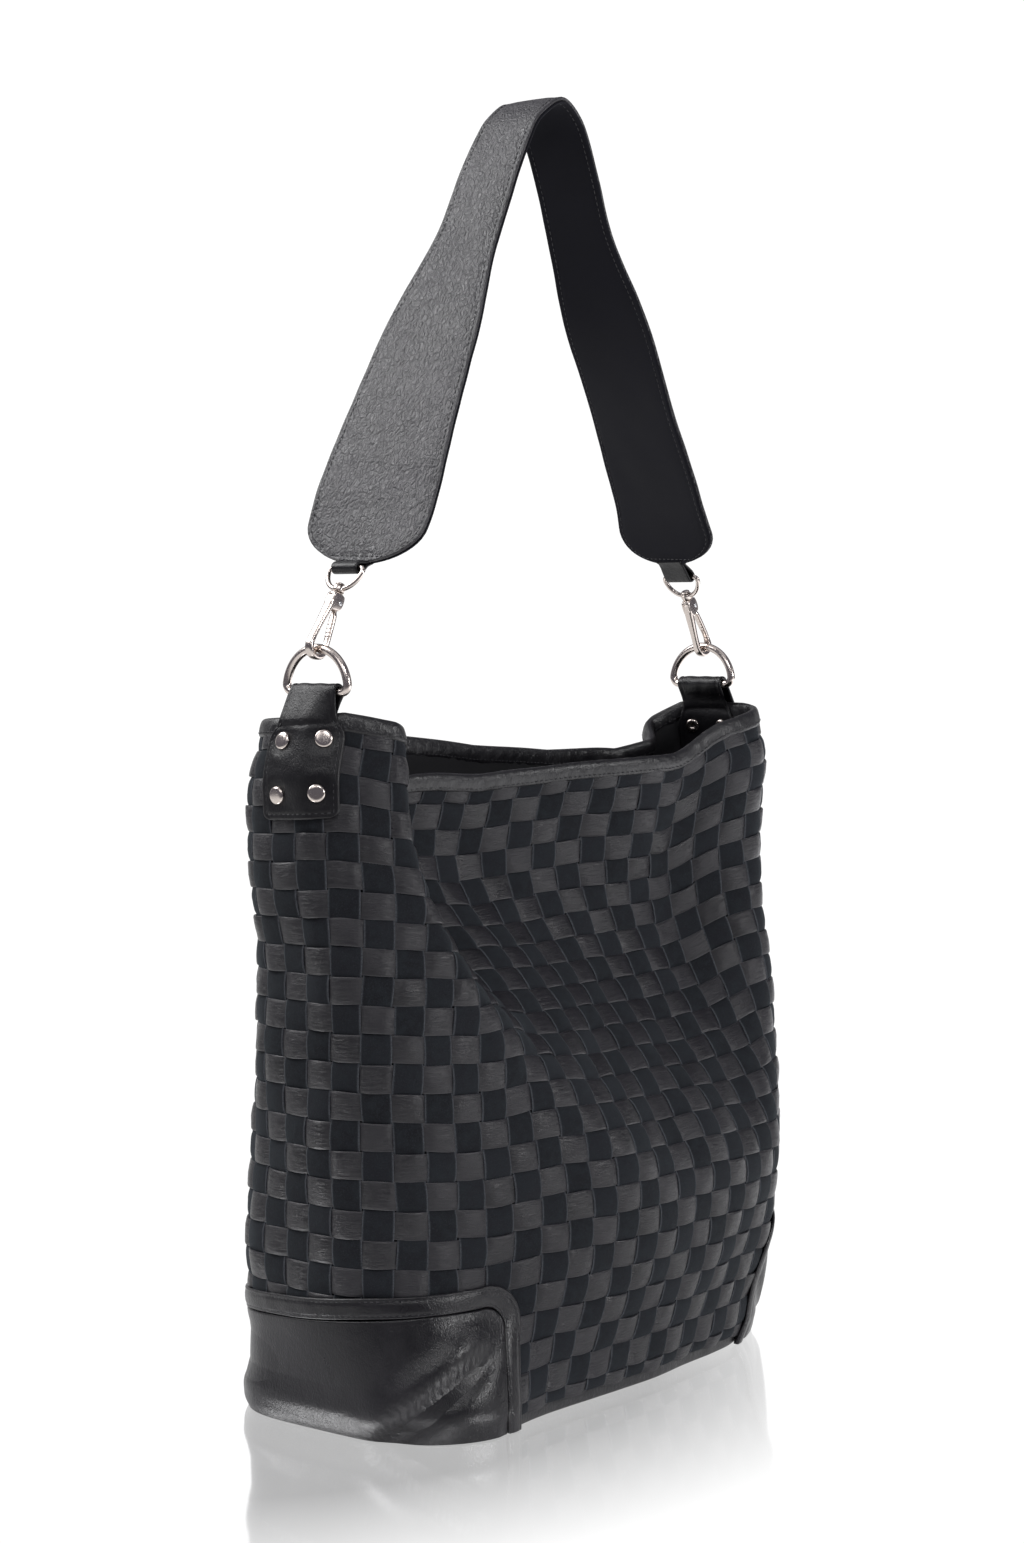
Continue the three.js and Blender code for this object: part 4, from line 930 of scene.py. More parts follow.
def make_corner(side, name):
    middle = 0.0 if side < 0 else 0.5
    panel_reach = PANEL_REACHES[side]
    reach = panel_reach - TRIM_WIDTH - TRIM_GAP
    height = PANEL_HEIGHT - TRIM_WIDTH - TRIM_GAP
    radius = PANEL_RADIUS - TRIM_WIDTH
    away = reach * edge_spacing(300, 0.75)[None, :]
    rise = (edge_spacing(90, 0.5)[:, None] + 1) / 2
    top = arch(away, reach, height, radius) + tilt(side, away)
    up = PANEL_FOOT + rise * (top - PANEL_FOOT)
    fade = ss(0, 9, reach - np.abs(away)) * ss(0, 9, top - up)
    extra = slump(away, up, side) * fade
    points = wall(middle + away / PERIMETER, up, PANEL_LIFT)
    normals = wall_normal(middle + away / PERIMETER, up)
    distance = np.minimum(reach - np.abs(away), np.minimum(top - up, up - PANEL_FOOT + 0.4))
    build = Build()
    slab(build, points, normals, 0 * extra - 0.2, 1.5 + extra, distance, 1.0)
    build.make(f"{name}_corner_leather", PANEL_LEATHER, "root", "smooth_leather",
               replaces=(f"{name}_corner_panel",))

    # the trim follows the panel's edge: (away, up) and the direction inwards
    straight = np.linspace(PANEL_FOOT, PANEL_HEIGHT - PANEL_RADIUS, 26)
    turn = np.linspace(0, math.pi / 2, 22)[1:]
    flat = panel_reach - PANEL_RADIUS
    shoulder = PANEL_HEIGHT - PANEL_RADIUS
    walk = [(-panel_reach, u, 1.0, 0.0) for u in straight]
    walk += [(-flat - PANEL_RADIUS * math.cos(a), shoulder + PANEL_RADIUS * math.sin(a),
              math.cos(a), -math.sin(a)) for a in turn]
    top_run = [(a, PANEL_HEIGHT, 0.0, -1.0) for a in np.linspace(-flat, flat, 150)[1:-1]]
    mirrored = [(-a, u, -i, j) for a, u, i, j in walk[::-1]]
    walk = np.array(walk + top_run + mirrored)
    inwards = (edge_spacing(16, 0.6)[None, :] + 1) / 2 * TRIM_WIDTH
    wander = 0.35 * waves(walk[:, :1], walk[:, 1:2], 71 + side, 5, 0.04, 0.12)
    away = walk[:, :1] + walk[:, 2:3] * (inwards + wander)
    tilted = np.minimum(walk[:, 1:2] / shoulder, 1)
    up = np.maximum(walk[:, 1:2] + walk[:, 3:4] * (inwards + wander) + tilted * tilt(side, away), PANEL_FOOT)
    points = wall(middle + away / PERIMETER, up, PANEL_LIFT)
    normals = wall_normal(middle + away / PERIMETER, up)
    distance = np.minimum(inwards, TRIM_WIDTH - inwards) + 0 * away
    crown = 1.75 + 0.35 * np.sin(inwards / TRIM_WIDTH * math.pi)
    for inset, spread in zip(TRIM_STITCHES, (0.8, 0.7)):
        crown = crown - 0.35 * hill(inwards, inset, spread)
    crown = crown + 0.10 * waves(away, up, 75 + side, 6, 0.15, 0.5) + 0.8 * foot_flare(up)
    build = Build()
    slab(build, points, normals, 0 * crown - 0.3, crown, distance, 0.9)
    build.make(f"{name}_corner_trim_leather", PANEL_LEATHER, "root", "smooth_leather",
               replaces=(f"{name}_corner_trim",))
    threads = Build()
    for inset in TRIM_STITCHES:
        a = walk[:, 0] + walk[:, 2] * (inset + wander[:, 0])
        u = walk[:, 1] + walk[:, 3] * (inset + wander[:, 0]) + tilted[:, 0] * tilt(side, a)
        where = middle + a / PERIMETER
        lift = PANEL_LIFT + 1.55 + 0.8 * foot_flare(u)
        stitches(threads, wall(where, u, lift), wall_normal(where, u))
    threads.make(f"{name}_corner_stitches", THREAD, "root", "smooth_leather")


ENDS = ((-1, "left"), (1, "right"))
for side, name in ENDS:
    make_corner(side, name)


# ---- tabs, rivets and D-rings
RING_X, RING_Z, RING_RADIUS, RING_WIRE, RING_BAR_Z, RING_CORNER = 169.0, 382.0, 21.5, 2.3, 381.0, 4.0
TAB_HALF_WIDTH, TAB_NECK, TAB_DROP = 22.5, 16.0, 54.0
TAB_MIDDLE = {-1: 0.002, 1: 0.5045}
RIVET_SIDE, RIVET_DROPS = 11.5, (12.5, 40.5)
TAB_OUTSIDE, TAB_INSIDE = 3.3, -4.3
TAB_STITCH_INSET = 2.9
BAR_GAP = 0.35
LOOP_RADIUS = RING_WIRE + BAR_GAP + 1.0


def tab_half(drop):
    return TAB_NECK + (TAB_HALF_WIDTH - TAB_NECK) * ss(-3, 13, drop)


def make_tab(side, name):
    middle = TAB_MIDDLE[side]
    t = edge_spacing(34, 0.6)
    drops = TAB_DROP * (1 - (edge_spacing(70, 0.35) + 1) / 2)
    rows, halves, runs, dents = [], [], [], []

    def leg(offset, order):
        for drop in drops[::order]:
            near_end = max(0.0, drop - (TAB_DROP - 5)) / 5
            half = tab_half(drop) - 5 * (1 - math.sqrt(max(0.0, 1 - near_end ** 2)))
            across = half * t
            up = WALL_HEIGHT - drop
            spots = wall(middle + across / PERIMETER, np.full(len(t), up), offset)
            rows.append(spots)
            halves.append(half)
            runs.append(TAB_DROP - drop if order > 0 else 1000 + TAB_DROP - drop)
            press = 0
            for rivet_drop in RIVET_DROPS:
                for rivet_side in (-RIVET_SIDE, RIVET_SIDE):
                    away = np.hypot(across - rivet_side, drop - rivet_drop)
                    press = press - 0.55 * hill(away, 0, 6.0) + 0.25 * hill(away, 9.5, 3)
            dents.append(press * (1 if offset > 0 else 0.3) + 0.5 * hill(drop, 30, 9) * (1 - t ** 2)
                         - 0.55 * hill(drop, 3.5, 1.8))

    leg(TAB_OUTSIDE, 1)
    for angle in np.linspace(math.pi, -0.75, 26)[1:]:
        x = side * (RING_X - LOOP_RADIUS * math.cos(angle))
        z = RING_BAR_Z + LOOP_RADIUS * math.sin(angle)
        half = TAB_NECK - 0.3
        rows.append(np.stack([np.full(len(t), x), half * t, np.full(len(t), z)], 1))
        halves.append(half)
        runs.append(500)
        dents.append(0.12 * np.sin(t * 9 + angle * 2))
    leg(TAB_INSIDE, -1)
    # every row runs the same way across the bag
    rows = [row if row[0, 1] < row[-1, 1] else row[::-1] for row in rows]
    points = np.stack(rows)
    # ease the corners where the legs meet the loop
    for _ in range(6):
        points[1:-1] = 0.5 * points[1:-1] + 0.25 * (points[2:] + points[:-2])
    normals = grid_normals(points)
    outward = points[4, 17] - np.array([0.0, 0.0, points[4, 17, 2]])
    if (normals[4, 17] * outward).sum() < 0:
        normals = -normals
    halves = np.array(halves)[:, None]
    runs = np.array(runs, float)[:, None]
    distance = halves * (1 - np.abs(t))[None, :]
    end = np.minimum(np.abs(runs), np.abs(1000 + TAB_DROP - runs))
    distance = np.minimum(distance, end)
    dents = np.stack([d if np.ndim(d) else np.full(len(t), d) for d in dents])
    dents = dents - 0.3 * hill(distance, TAB_STITCH_INSET, 0.7)
    build = Build()
    slab(build, points, normals, -1.0, 1.0 + dents, distance, 0.9)
    build.make(f"{name}_tab_leather", TAB_LEATHER, "root", "smooth_leather", None, (f"{name}_tab",))
    # stitching round the outer leg
    threads = Build()
    line = []
    up_run = np.linspace(TAB_STITCH_INSET, TAB_DROP - 2, 60)
    for sign, order in ((-1, -1), (1, 1)):
        run = up_run[::order]
        drop = TAB_DROP - run
        line += [(sign * (tab_half(d) - TAB_STITCH_INSET), d) for d in drop]
        if sign < 0:
            corner = TAB_HALF_WIDTH - 3.4
            line += [(a, TAB_DROP - TAB_STITCH_INSET) for a in np.linspace(-corner, corner, 40)]
    line = np.array(line)
    where = middle + line[:, 0] / PERIMETER
    stitches(threads, wall(where, WALL_HEIGHT - line[:, 1], TAB_OUTSIDE + 0.78),
             wall_normal(where, WALL_HEIGHT - line[:, 1]), pitch=3.3, length=2.3, radius=0.3)
    threads.make(f"{name}_tab_stitches", THREAD, "root", "smooth_leather")


def make_rivets(side, name):
    middle = TAB_MIDDLE[side]
    number = 0
    for drop in RIVET_DROPS:
        for across in (-RIVET_SIDE, RIVET_SIDE):
            number += 1
            where = middle + across / PERIMETER
            up = WALL_HEIGHT - drop
            point = sample(TABLE, where, up)
            normal = wall_normal(where, up)
            outer = TAB_OUTSIDE + 0.75
            inner = TAB_INSIDE - 0.95
            dome = [[4.1, outer - 0.3], [4.6, outer - 0.1], [4.75, outer + 0.4], [4.55, outer + 1.1],
                    [3.9, outer + 1.6], [2.9, outer + 1.85], [1.2, outer + 1.95], [0.01, outer + 1.97]]
            post = [[0.01, inner - 0.75], [1.2, inner - 0.75], [1.5, inner - 1.25], [2.6, inner - 1.35],
                    [3.7, inner - 1.2], [4.2, inner - 0.5], [4.2, inner + 0.1], [1.7, inner + 0.3]]
            profile = round_profile(post + [[1.6, inner + 0.4], [1.6, outer - 0.4]] + dome)
            Build().grid(lathe(profile, point, normal, 36), close_columns=True).make(
                f"{name}_rivet_{number}_cap", NICKEL, "root", "nickel", 60, (f"{name}_rivet_{number}",))


def ring_path(radius, corner, drop, steps):
    lift = math.asin((corner - drop) / (radius - corner))
    corner_y = (radius - corner) * math.cos(lift)

    def arc(cy, cz, size, start, stop, count):
        angle = np.linspace(start, stop, count)
        return np.stack([0 * angle, cy + size * np.cos(angle), cz + size * np.sin(angle)], 1)

    bar = np.stack([np.zeros(18), np.linspace(-corner_y, corner_y, 20)[1:-1], np.full(18, -drop)], 1)
    return np.vstack([
        arc(0, 0, radius, lift, math.pi - lift, steps),
        arc(-corner_y, corner - drop, corner, math.pi - lift, 1.5 * math.pi, 9)[1:],
        bar,
        arc(corner_y, corner - drop, corner, 1.5 * math.pi, math.tau + lift, 9)[:-1]])


def make_ring(side, name):
    path = ring_path(RING_RADIUS, RING_CORNER, RING_Z - RING_BAR_Z, 64) + [side * RING_X, 0, RING_Z]
    Build().grid(sweep(path, (1, 0, 0), RING_WIRE, True, 24), close_rows=True, close_columns=True).make(
        f"{name}_ring_wire", NICKEL, f"{name}_ring", "nickel", None, (f"{name}_d_ring",))


for side, name in ENDS:
    make_tab(side, name)
    make_rivets(side, name)
    make_ring(side, name)


# ---- snap hooks
LEAN = math.radians(29.5)
HOOK_INNER, HOOK_METAL, HOOK_PLAY = 3.9, 3.2, 0.65
HOOK_Z = RING_Z + RING_RADIUS + HOOK_INNER - RING_WIRE - HOOK_PLAY
HEAD_TOP = 31.5
PIN_U, PIN_W = 1.9, 26.3
BOSS_MIDDLE = HEAD_TOP + 0.35 + 1.7
EYE_RADIUS, EYE_WIRE, EYE_DROP = 12.0, 1.35, 1.0
EYE_BAR = BOSS_MIDDLE + EYE_RADIUS + EYE_DROP


def hook_place(points, side):
    """From the hook's own axes (u across, y, w along) to the bag's."""
    turn = -side * LEAN
    u, y, w = points[..., 0], points[..., 1], points[..., 2]
    return np.stack([side * RING_X + u * math.cos(turn) + w * math.sin(turn), y,
                     HOOK_Z - u * math.sin(turn) + w * math.cos(turn)], -1)


def flat_bar(spine, thick, width, power=3.2, sides=28):
    """A bar of rounded-rectangle section along a path (u, w) in the hook's plane."""
    spine = np.asarray(spine, float)
    along = unit(np.gradient(spine, axis=0))
    out = np.stack([along[:, 1], -along[:, 0]], 1)
    angle = np.arange(sides) * math.tau / sides
    c, s = np.cos(angle), np.sin(angle)
    a = np.sign(c) * np.abs(c) ** (2 / power)
    b = np.sign(s) * np.abs(s) ** (2 / power)
    thick = np.broadcast_to(np.asarray(thick, float), (len(spine),))
    width = np.broadcast_to(np.asarray(width, float), (len(spine),))
    u = spine[:, :1] + out[:, :1] * a * thick[:, None] / 2
    w = spine[:, 1:] + out[:, 1:] * a * thick[:, None] / 2
    y = b[None, :] * width[:, None] / 2
    return np.stack([u, np.broadcast_to(y, u.shape), w], -1)


def close_ends(rings, steps=4, reach=0.9):
    """Rounds both ends of a row of rings to a point."""
    first, second = rings[0].mean(0), rings[1].mean(0)
    last, before = rings[-1].mean(0), rings[-2].mean(0)
    start_dir = (first - second) / max(np.linalg.norm(first - second), 1e-9)
    stop_dir = (last - before) / max(np.linalg.norm(last - before), 1e-9)
    head, tail = [], []
    for k in range(1, steps + 1):
        angle = k / steps * math.pi / 2
        shrink, push = math.cos(angle), math.sin(angle) * reach
        head.append(first + (rings[0] - first) * max(shrink, 0.01) + start_dir * push)
        tail.append(last + (rings[-1] - last) * max(shrink, 0.01) + stop_dir * push)
    return np.concatenate([np.stack(head[::-1]), rings, np.stack(tail)])


def spline(points, count):
    """Centripetal Catmull-Rom through points (n,k), evenly spaced."""
    p = np.asarray(points, float)
    p = np.vstack([2 * p[0] - p[1], p, 2 * p[-1] - p[-2]])
    pieces = []
    for i in range(1, len(p) - 2):
        p0, p1, p2, p3 = p[i - 1:i + 3]
        t0 = 0.0
        t1 = t0 + max(np.linalg.norm(p1 - p0), 1e-6) ** 0.5
        t2 = t1 + max(np.linalg.norm(p2 - p1), 1e-6) ** 0.5
        t3 = t2 + max(np.linalg.norm(p3 - p2), 1e-6) ** 0.5
        t = np.linspace(t1, t2, 60)[:, None]
        a1 = (t1 - t) / (t1 - t0) * p0 + (t - t0) / (t1 - t0) * p1
        a2 = (t2 - t) / (t2 - t1) * p1 + (t - t1) / (t2 - t1) * p2
        a3 = (t3 - t) / (t3 - t2) * p2 + (t - t2) / (t3 - t2) * p3
        b1 = (t2 - t) / (t2 - t0) * a1 + (t - t0) / (t2 - t0) * a2
        b2 = (t3 - t) / (t3 - t1) * a2 + (t - t1) / (t3 - t1) * a3
        pieces.append(((t2 - t) / (t2 - t1) * b1 + (t - t1) / (t2 - t1) * b2)[:-1])
    pieces.append(p[-2:-1])
    line = np.vstack(pieces)
    run = run_of(line)
    return read_at(np.linspace(0, run[-1], count), run, line)


def make_hook(side, name):
    middle = HOOK_INNER + HOOK_METAL / 2
    bend = [(middle * math.cos(a), middle * math.sin(a)) for a in np.linspace(math.pi, math.tau, 15)]
    spine = spline([(-2.2, 28.5), (-2.9, 22.0), (-4.2, 12.0), (-5.2, 4.0)] + bend + [(middle + 0.1, 1.6)], 90)
    run = np.linspace(0, 1, 90)
    thick = 3.1 + 0.5 * hill(run, 0.0, 0.18) - 0.25 * hill(run, 0.45, 0.15)
    thick = thick + 0.2 * hill(run, 0.72, 0.1) - 0.7 * ss(0.93, 1, run)
    width = 5.6 - 1.3 * ss(0.1, 0.45, run) + 0.9 * ss(0.5, 0.72, run) - 1.3 * ss(0.85, 1.0, run)
    body = Build()
    body.grid(hook_place(close_ends(flat_bar(spine, thick, width, 3.0), 4, 0.6), side), close_columns=True)
    # two cheeks hold the pin, with a block above them
    cheek = round_profile([[-2.0, 20.5], [-4.1, 22.5], [-4.3, 27.5], [-3.6, 31.2], [3.4, 31.3],
                           [4.3, 29.5], [4.6, 25.0], [3.4, 22.2], [1.2, 22.0], [-2.0, 20.5]])[:-1]
    centre = cheek.mean(0)
    # scale of the outline, and distance from the hook's middle plane
    layers = [(0.02, 1.30), (0.90, 1.30), (1.0, 1.42), (1.0, 2.35), (0.95, 2.72), (0.82, 2.85), (0.02, 2.92)]
    for sign in (-1, 1):
        rows = []
        for scale, y in layers:
            u, w = (centre + (cheek - centre) * scale).T
            rows.append(np.stack([u, np.full(len(cheek), sign * y), w], 1))
        body.grid(hook_place(np.stack(rows), side), close_columns=True, flip=sign > 0)
    block = flat_bar([(-0.1, 29.7), (-0.1, 30.4), (-0.1, 31.2)], [7.4, 7.3, 6.6], [5.5, 5.4, 4.6], 3.0)
    body.grid(hook_place(close_ends(block, 4, 0.35), side), close_columns=True)
    stem = round_profile([[1.5, 30.8], [1.5, BOSS_MIDDLE + 2.0], [2.5, BOSS_MIDDLE + 2.1],
                          [2.7, BOSS_MIDDLE + 2.8], [2.0, BOSS_MIDDLE + 3.4], [0.01, BOSS_MIDDLE + 3.6]])
    body.grid(hook_place(lathe(stem, (0, 0, 0), (0, 0, 1), 28), side), close_columns=True)
    body.make(f"{name}_hook_casting", NICKEL, f"{name}_hook", "nickel", 45, (f"{name}_hook_body",))

    gate_spine = spline([(PIN_U - 0.3, PIN_W + 1.2), (PIN_U + 0.3, PIN_W - 2.0), (3.2, 19.0), (4.6, 10.0),
                         (5.5, 4.6), (5.6, 2.4)], 60)
    t = np.linspace(0, 1, 60)
    gate_thick = 3.2 - 0.9 * ss(0.0, 0.25, t) + 0.1 * ss(0.75, 0.95, t)
    gate_width = 2.2 + 1.9 * ss(0.22, 0.34, t) - 0.5 * ss(0.6, 1.0, t)
    ridges = 0.32 * np.clip(np.sin(t * 150), 0, 1) * ss(0.40, 0.45, t) * (1 - ss(0.78, 0.84, t))
    gate = Build()
    lever = close_ends(flat_bar(gate_spine, gate_thick + ridges, gate_width, 3.0), 4, 0.5)
    gate.grid(hook_place(lever, side), close_columns=True)
    gate.make(f"{name}_gate_lever", NICKEL, f"{name}_gate", "nickel", 45, (f"{name}_hook_gate",))

    pin = round_profile([[0.01, -3.35], [0.9, -3.3], [1.35, -3.05], [1.35, -2.85], [0.9, -2.8],
                         [0.9, 2.8], [1.35, 2.85], [1.35, 3.05], [0.9, 3.3], [0.01, 3.35]], 1)
    pin = lathe(pin, (PIN_U, 0, PIN_W), (0, 1, 0), 24)
    Build().grid(hook_place(pin, side), close_columns=True).make(
        f"{name}_pin_turned", STEEL, f"{name}_hook", "steel", 50, (f"{name}_gate_pin",))
    turns = np.linspace(0, 2.2 * math.tau, 90)
    coil = np.stack([PIN_U + 1.55 * np.cos(turns), 1.12 + 0.14 * turns / math.tau,
                     PIN_W + 1.55 * np.sin(turns)], 1)
    Build().grid(hook_place(sweep(coil, (0, 1, 0), 0.17, False, 8), side), close_columns=True).make(
        f"{name}_spring_coil", STEEL, f"{name}_hook", "steel", None, (f"{name}_gate_spring",))

    path = ring_path(EYE_RADIUS, 2.5, EYE_DROP, 56)
    path = path * [1, -1, -1] + [0, 0, BOSS_MIDDLE + EYE_RADIUS]
    eye = Build()
    wire = sweep(path, (1, 0, 0), EYE_WIRE, True, 20)
    eye.grid(hook_place(wire, side), close_rows=True, close_columns=True)
    boss = round_profile([[1.85, -1.7], [2.9, -1.7], [3.35, -0.9], [3.35, 0.9], [2.9, 1.7], [1.85, 1.7],
                          [1.85, -1.7]])
    eye.grid(hook_place(lathe(boss + [0, BOSS_MIDDLE], (0, 0, 0), (0, 0, 1), 32), side), close_columns=True)
    eye.make(f"{name}_eye_wire", NICKEL, "strap", "nickel", 50, (f"{name}_swivel_eye",))


for side, name in ENDS:
    make_hook(side, name)


# ---- strap
STRAP_LEGS = {
    -1: [(139.5, 447.5), (130, 468), (103.5, 526), (65.5, 598), (47, 634), (32, 671), (18, 694), (0, 704.5)],
    1: [(137.5, 452.5), (131, 470), (105, 526), (67.5, 598), (47, 634), (28, 671), (14, 695)]}
CROWN_SHIFT = 8.0
PADDLE_END = 21.0
STRAP_STITCH_INSET = 3.2
TWIST_LEFT, TWIST_CROWN, TWIST_RIGHT = math.radians(-9), math.radians(-13), math.radians(13)


def strap_frame():
    """Middle line of the strap and its length."""
    left, right = ([(side * x + CROWN_SHIFT * float(ss(600, 700, z)), 0.0, z) for x, z in STRAP_LEGS[side]]
                   for side in (-1, 1))
    line = spline(left + right[::-1], 2000)
    length = float(np.linalg.norm(np.diff(line, axis=0), axis=1).sum())
    return line, length


STRAP_LINE, STRAP_LENGTH = strap_frame()


def strap_at(stops):
    where = np.asarray(stops, float) / STRAP_LENGTH * (len(STRAP_LINE) - 1)
    index = np.arange(len(STRAP_LINE))
    point = read_at(where, index, STRAP_LINE)
    along = unit(read_at(where, index, unit(np.gradient(STRAP_LINE, axis=0))))
    part = np.asarray(stops, float) / STRAP_LENGTH
    grip = ss(0, 0.07, part) * 0.5 + 0.5
    grip_right = ss(0, 0.07, 1 - part) * 0.5 + 0.5
    twist = TWIST_LEFT * grip * (1 - ss(0.30, 0.50, part)) + TWIST_CROWN * ss(0.46, 0.56, part)
    twist = twist + (TWIST_RIGHT * grip_right - TWIST_CROWN) * ss(0.66, 0.86, part)
    across = np.stack([np.sin(twist), np.cos(twist), 0 * twist], -1)
    across = unit(across - along * (across * along).sum(-1, keepdims=True))
    normal = np.cross(along, across)
    flip = np.sign(normal[len(normal) // 2, 2]) or 1
    return point, along, across, normal * flip


def table_value(value, places, sizes):
    """Read off a table, averaged over 20 mm so that no corner shows."""
    return np.mean([np.interp(value + step, places, sizes) for step in np.linspace(-10, 10, 9)], axis=0)


def strap_half(from_end):
    full = table_value(from_end, [40, 60, 90, 125, 145, 165, 185, 202, 216],
                       [38, 37, 34.8, 31.2, 29.2, 25.6, 21.6, 19.8, 19.4])
    end = np.clip(1 - from_end / PADDLE_END, 0, 1)
    return np.maximum(full * np.sqrt(1 - end ** 2), 10.5)


def strap_grid(columns=30):
    close = np.array([0, 0.35, 0.8, 1.4, 2.2, 3.2, 4.6, 6.2, 8.2, 10.5, 13, 16, 19])
    stops = np.concatenate([close, np.linspace(22, STRAP_LENGTH - 22, 330), (STRAP_LENGTH - close)[::-1]])
    from_end = np.minimum(stops, STRAP_LENGTH - stops)
    half = strap_half(from_end)
    point, along, across, normal = strap_at(stops)
    t = edge_spacing(columns, 0.75)
    side = half[:, None] * t[None, :]
    points = point[:, None] + across[:, None] * side[..., None]
    normals = np.broadcast_to(normal[:, None], points.shape)
    reach = half[:, None] * (1 - np.abs(t))[None, :]
    # the distance to the rounded end is shortest along the strap near its tips
    distance = np.minimum(reach, from_end[:, None])
    return stops, from_end, side, points, normals, distance


def make_strap():
    stops, from_end, side, points, normals, distance = strap_grid()
    run = stops[:, None] + 0 * side
    wave = 0.55 * waves(run, side, 81, 6, 0.02, 0.07) + 0.12 * waves(run, side, 82, 6, 0.12, 0.35)
    points = points + normals * (wave * ss(0, 30, from_end)[:, None])[..., None]
    groove = hill(distance, STRAP_STITCH_INSET, 0.8)
    pad = 0.35 * ss(3, 10, distance)
    uv = np.stack([run, side], -1)
    outer = Build()
    slab(outer, points, normals, 0.05, 2.15 + pad - 0.35 * groove, distance, 1.1, uv)
    outer.make("strap_outer_leather", STRAP_LEATHER, "strap", "smooth_leather", None, ("strap_outer",))
    inner = Build()
    slab(inner, points, normals, -1.75 - 0.3 * pad + 0.25 * groove, -0.05, distance, 0.9, uv)
    inner.make("strap_lining_leather", STRAP_BACK, "strap", "matt_leather", None, ("strap_lining",))
    # a line of stitches beside the edge, all the way round
    edge_stops = np.linspace(3.4, STRAP_LENGTH - 3.4, 900)
    from_tip = np.minimum(edge_stops, STRAP_LENGTH - edge_stops)
    half = strap_half(from_tip) - STRAP_STITCH_INSET
    point, along, across, normal = strap_at(edge_stops)
    edges = []
    for out in (half, -half):
        lift = 0.55 * waves(edge_stops, out, 81, 6, 0.02, 0.07) * ss(0, 30, from_tip)
        edges.append(point + across * out[:, None] + normal * lift[:, None])
    loop = np.vstack([edges[0], edges[1][::-1]])
    loop_normal = np.vstack([normal, normal[::-1]])
    threads = Build()
    for way, lift, radius in ((1, 1.95, 0.3), (-1, 1.62, 0.26)):
        face = way * loop_normal
        stitches(threads, loop + face * lift, face, pitch=3.3, length=2.3, radius=radius, closed=True)
    threads.make("strap_stitches", THREAD, "strap", "smooth_leather")


make_strap()


def make_loops(side, name):
    """The leather loop between the strap's end and the eye's bar."""
    bar = hook_place(np.array([0.0, 0.0, EYE_BAR]), side)
    end = np.array([side * STRAP_LEGS[side][0][0], 0.0, STRAP_LEGS[side][0][1]])
    reach = end - bar
    length = math.hypot(reach[0], reach[2])
    up = np.array([reach[0], 0, reach[2]]) / length
    out = np.array([up[2], 0, -up[0]])
    middle = EYE_WIRE + BAR_GAP + 0.75
    turn = [(middle * math.cos(a), middle * math.sin(a)) for a in np.linspace(math.pi, math.tau, 15)]
    rise = length + 3
    path = spline([(-0.85, rise), (-0.9, length - 1.5), (-1.6, length * 0.55), (-middle, 1.5)] + turn
                  + [(middle, 1.5), (1.6, length * 0.55), (0.9, length - 1.5), (0.85, rise)], 90)
    t = edge_spacing(18, 0.7)
    half = 9.4 - 0.5 * hill(np.linspace(-1, 1, 90), 0, 0.3)
    twist = 0.5 * (TWIST_LEFT if side < 0 else TWIST_RIGHT)
    base = bar + path[:, :1] * out + path[:, 1:] * up
    turn_amount = np.clip(path[:, 1] / length, 0, 1) * twist
    across = np.stack([np.sin(turn_amount), np.cos(turn_amount), 0 * turn_amount], 1)
    points = base[:, None] + across[:, None] * (half[:, None] * t[None, :])[..., None]
    normals = grid_normals(points)
    centre = points.reshape(-1, 3).mean(0)
    low = points[45, 9]
    if (normals[45, 9] * (low - centre)).sum() < 0:
        normals = -normals
    distance = half[:, None] * (1 - np.abs(t))[None, :]
    build = Build()
    slab(build, points, normals, -0.75, 0.8, distance, 0.8)
    build.make(f"{name}_loop_leather", TAB_LEATHER, "strap", "smooth_leather", None, (f"{name}_strap_loop",))


for side, name in ENDS:
    make_loops(side, name)


# ---- carried-over parts
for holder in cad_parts["base_board"].material_slots:
    holder.material = BOARD


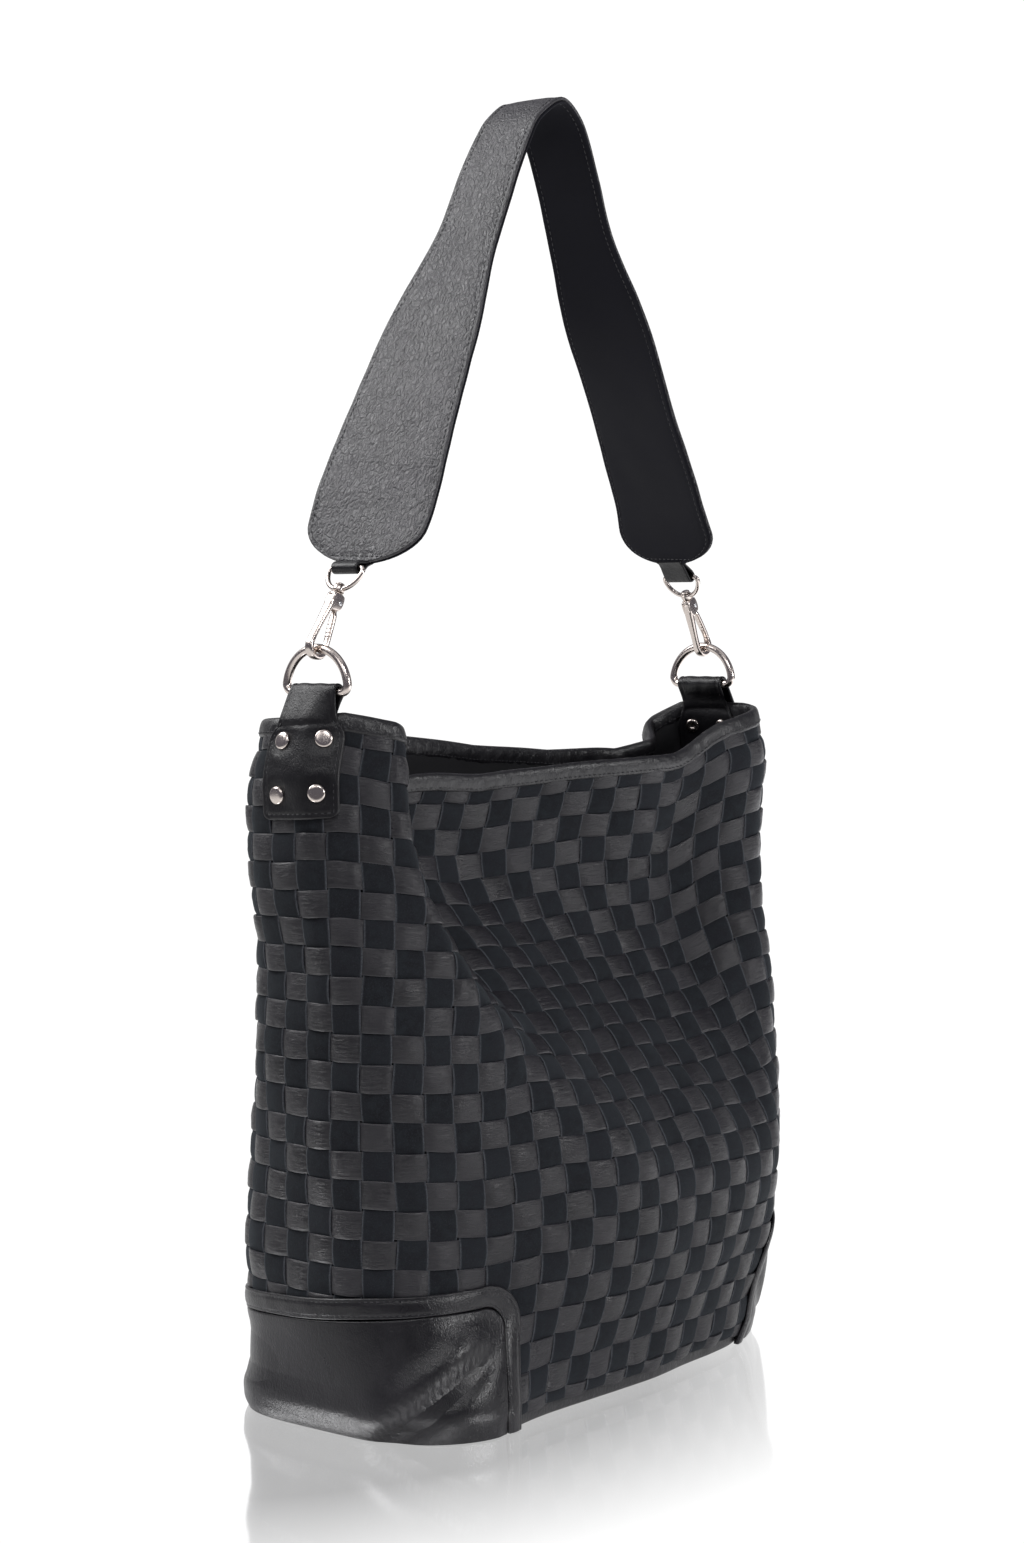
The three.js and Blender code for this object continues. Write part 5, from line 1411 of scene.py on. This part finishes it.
# ---- studio
def floor_material():
    """White, with a faint mirror image of the bag that dies away from its foot."""
    n = Nodes("studio_floor")
    reach = n.add("ShaderNodeVectorMath", operation="LENGTH")
    n.link(n.coords(scale=(1.0, 1.7, 1.0), shift=(0.12, 0, 0)), reach.inputs[0])
    near = n.ramp(n.remap(reach.outputs["Value"], 0.19, 0.41, 1.0, 0.0), (0.0, 0.0), (1.0, 1.0))
    cloud = n.noise(n.coords(), 3.0, 3, 0.5)
    mirror = n.add("ShaderNodeBsdfGlossy")
    n.put(mirror, "Color", n.mix(near, (0.0, 0.0, 0.0), (0.94, 0.94, 0.95)))
    n.put(mirror, "Roughness", n.remap(cloud, 0.3, 0.7, 0.07, 0.09))
    glow = n.add("ShaderNodeEmission")
    # brighter to the front right, dark a long way to either side and towards the front left
    aside = n.dot(n.coords(), (0.636, -0.772, 0.0))
    lit = n.mix(n.remap(aside, 0.2, 0.8, 0.0, 1.0), (1.06, 1.06, 1.06), (2.3, 2.3, 2.35))
    beyond = n.math("MAXIMUM", n.remap(n.math("ABSOLUTE", aside), 2.0, 2.8, 0.0, 1.0),
                    n.remap(n.dot(n.coords(), (0.772, 0.636, 0.0)), -0.6, -1.0, 0.0, 1.0))
    mirrored = n.mix(beyond, lit, (0.14, 0.135, 0.155))
    seen = n.add("ShaderNodeLightPath").outputs["Is Camera Ray"]
    far = n.mix(seen, mirrored, (1.06, 1.06, 1.06))
    n.put(glow, "Color", n.mix(near, far, (0.44, 0.44, 0.44)))
    both = n.add("ShaderNodeAddShader")
    n.link(mirror.outputs[0], both.inputs[0])
    n.link(glow.outputs[0], both.inputs[1])
    n.link(both.outputs[0], n.out.inputs["Surface"])
    n.tree.nodes.remove(n.shader)
    return n.material


def make_floor():
    me = bpy.data.meshes.new("floor")
    half = 9.0
    corners = [(-half, -half, 0), (half, -half, 0), (half, half, 0), (-half, half, 0)]
    me.from_pydata(corners, [], [(0, 1, 2, 3)])
    me.materials.append(floor_material())
    floor = bpy.data.objects.new("floor", me)
    floor.location.z = -0.0004
    bpy.context.scene.collection.objects.link(floor)


make_floor()


def softbox(name, place, aim, size, power):
    light = bpy.data.lights.new(name, "AREA")
    light.shape = "RECTANGLE"
    light.size, light.size_y = size
    light.energy = power
    obj = bpy.data.objects.new(name, light)
    obj.location = place
    obj.rotation_euler = (Vector(aim) - Vector(place)).to_track_quat("-Z", "Y").to_euler()
    bpy.context.scene.collection.objects.link(obj)


softbox("overhead", (0.0, 0.0, 2.4), (0, 0, 0), (2.2, 2.2), 8)
softbox("key", (-2.2, -0.4, 1.9), (0, 0, 0.4), (1.2, 1.2), 9)
softbox("glint", (-1.0, -1.1, 1.6), (0, 0, 0.15), (0.5, 0.5), 8)
softbox("behind_left", (-0.72, 1.02, 1.62), (-0.08, 0, 0.55), (1.1, 1.1), 31)
softbox("front", (0.25, -1.85, 0.87), (-0.14, -0.08, 0.05), (0.45, 0.45), 15)


def make_world():
    world = bpy.data.worlds.new("studio")
    world.use_nodes = True
    sky = Tree(world.node_tree)
    where = sky.add("ShaderNodeTexCoord").outputs["Generated"]
    # pale only low down behind the bag, where the floor mirrors it
    low = sky.remap(sky.dot(where, (0, 0, 1)), 0.32, 0.48, 1.0, 0.0)
    behind = sky.remap(sky.dot(where, (0.771, 0.637, 0.0)), 0.35, 0.75, 0.0, 1.0)
    colour = sky.mix(sky.math("MULTIPLY", low, behind), (0.20, 0.195, 0.235), (1.0, 1.0, 1.0))
    mirrored = sky.fill(sky.add("ShaderNodeBackground"), Color=colour, Strength=0.67)
    seen = sky.fill(sky.add("ShaderNodeBackground"), Color=(1, 1, 1, 1), Strength=1.06)
    choose = sky.add("ShaderNodeMixShader")
    sky.put(choose, 0, sky.add("ShaderNodeLightPath").outputs["Is Camera Ray"])
    sky.put(choose, 1, mirrored.outputs["Background"])
    sky.put(choose, 2, seen.outputs["Background"])
    sky.link(choose.outputs["Shader"], sky.add("ShaderNodeOutputWorld").inputs["Surface"])
    bpy.context.scene.world = world


make_world()


CAMERA_PLACE = Vector((-1.2380, -1.0108, 0.4094))
CAMERA_AIM = Vector((-0.00477, 0.00579, 0.3340))
CAMERA_LENS, CAMERA_SENSOR = 66.73, 36.0


def make_camera():
    data = bpy.data.cameras.new("camera")
    data.lens = CAMERA_LENS
    data.sensor_width = CAMERA_SENSOR
    data.clip_end = 60
    camera = bpy.data.objects.new("camera", data)
    camera.location = CAMERA_PLACE
    camera.rotation_euler = (CAMERA_AIM - CAMERA_PLACE).to_track_quat("-Z", "Y").to_euler()
    bpy.context.scene.collection.objects.link(camera)
    bpy.context.scene.camera = camera


make_camera()
view = bpy.context.scene.view_settings
view.view_transform = "Standard"
view.look = "None"
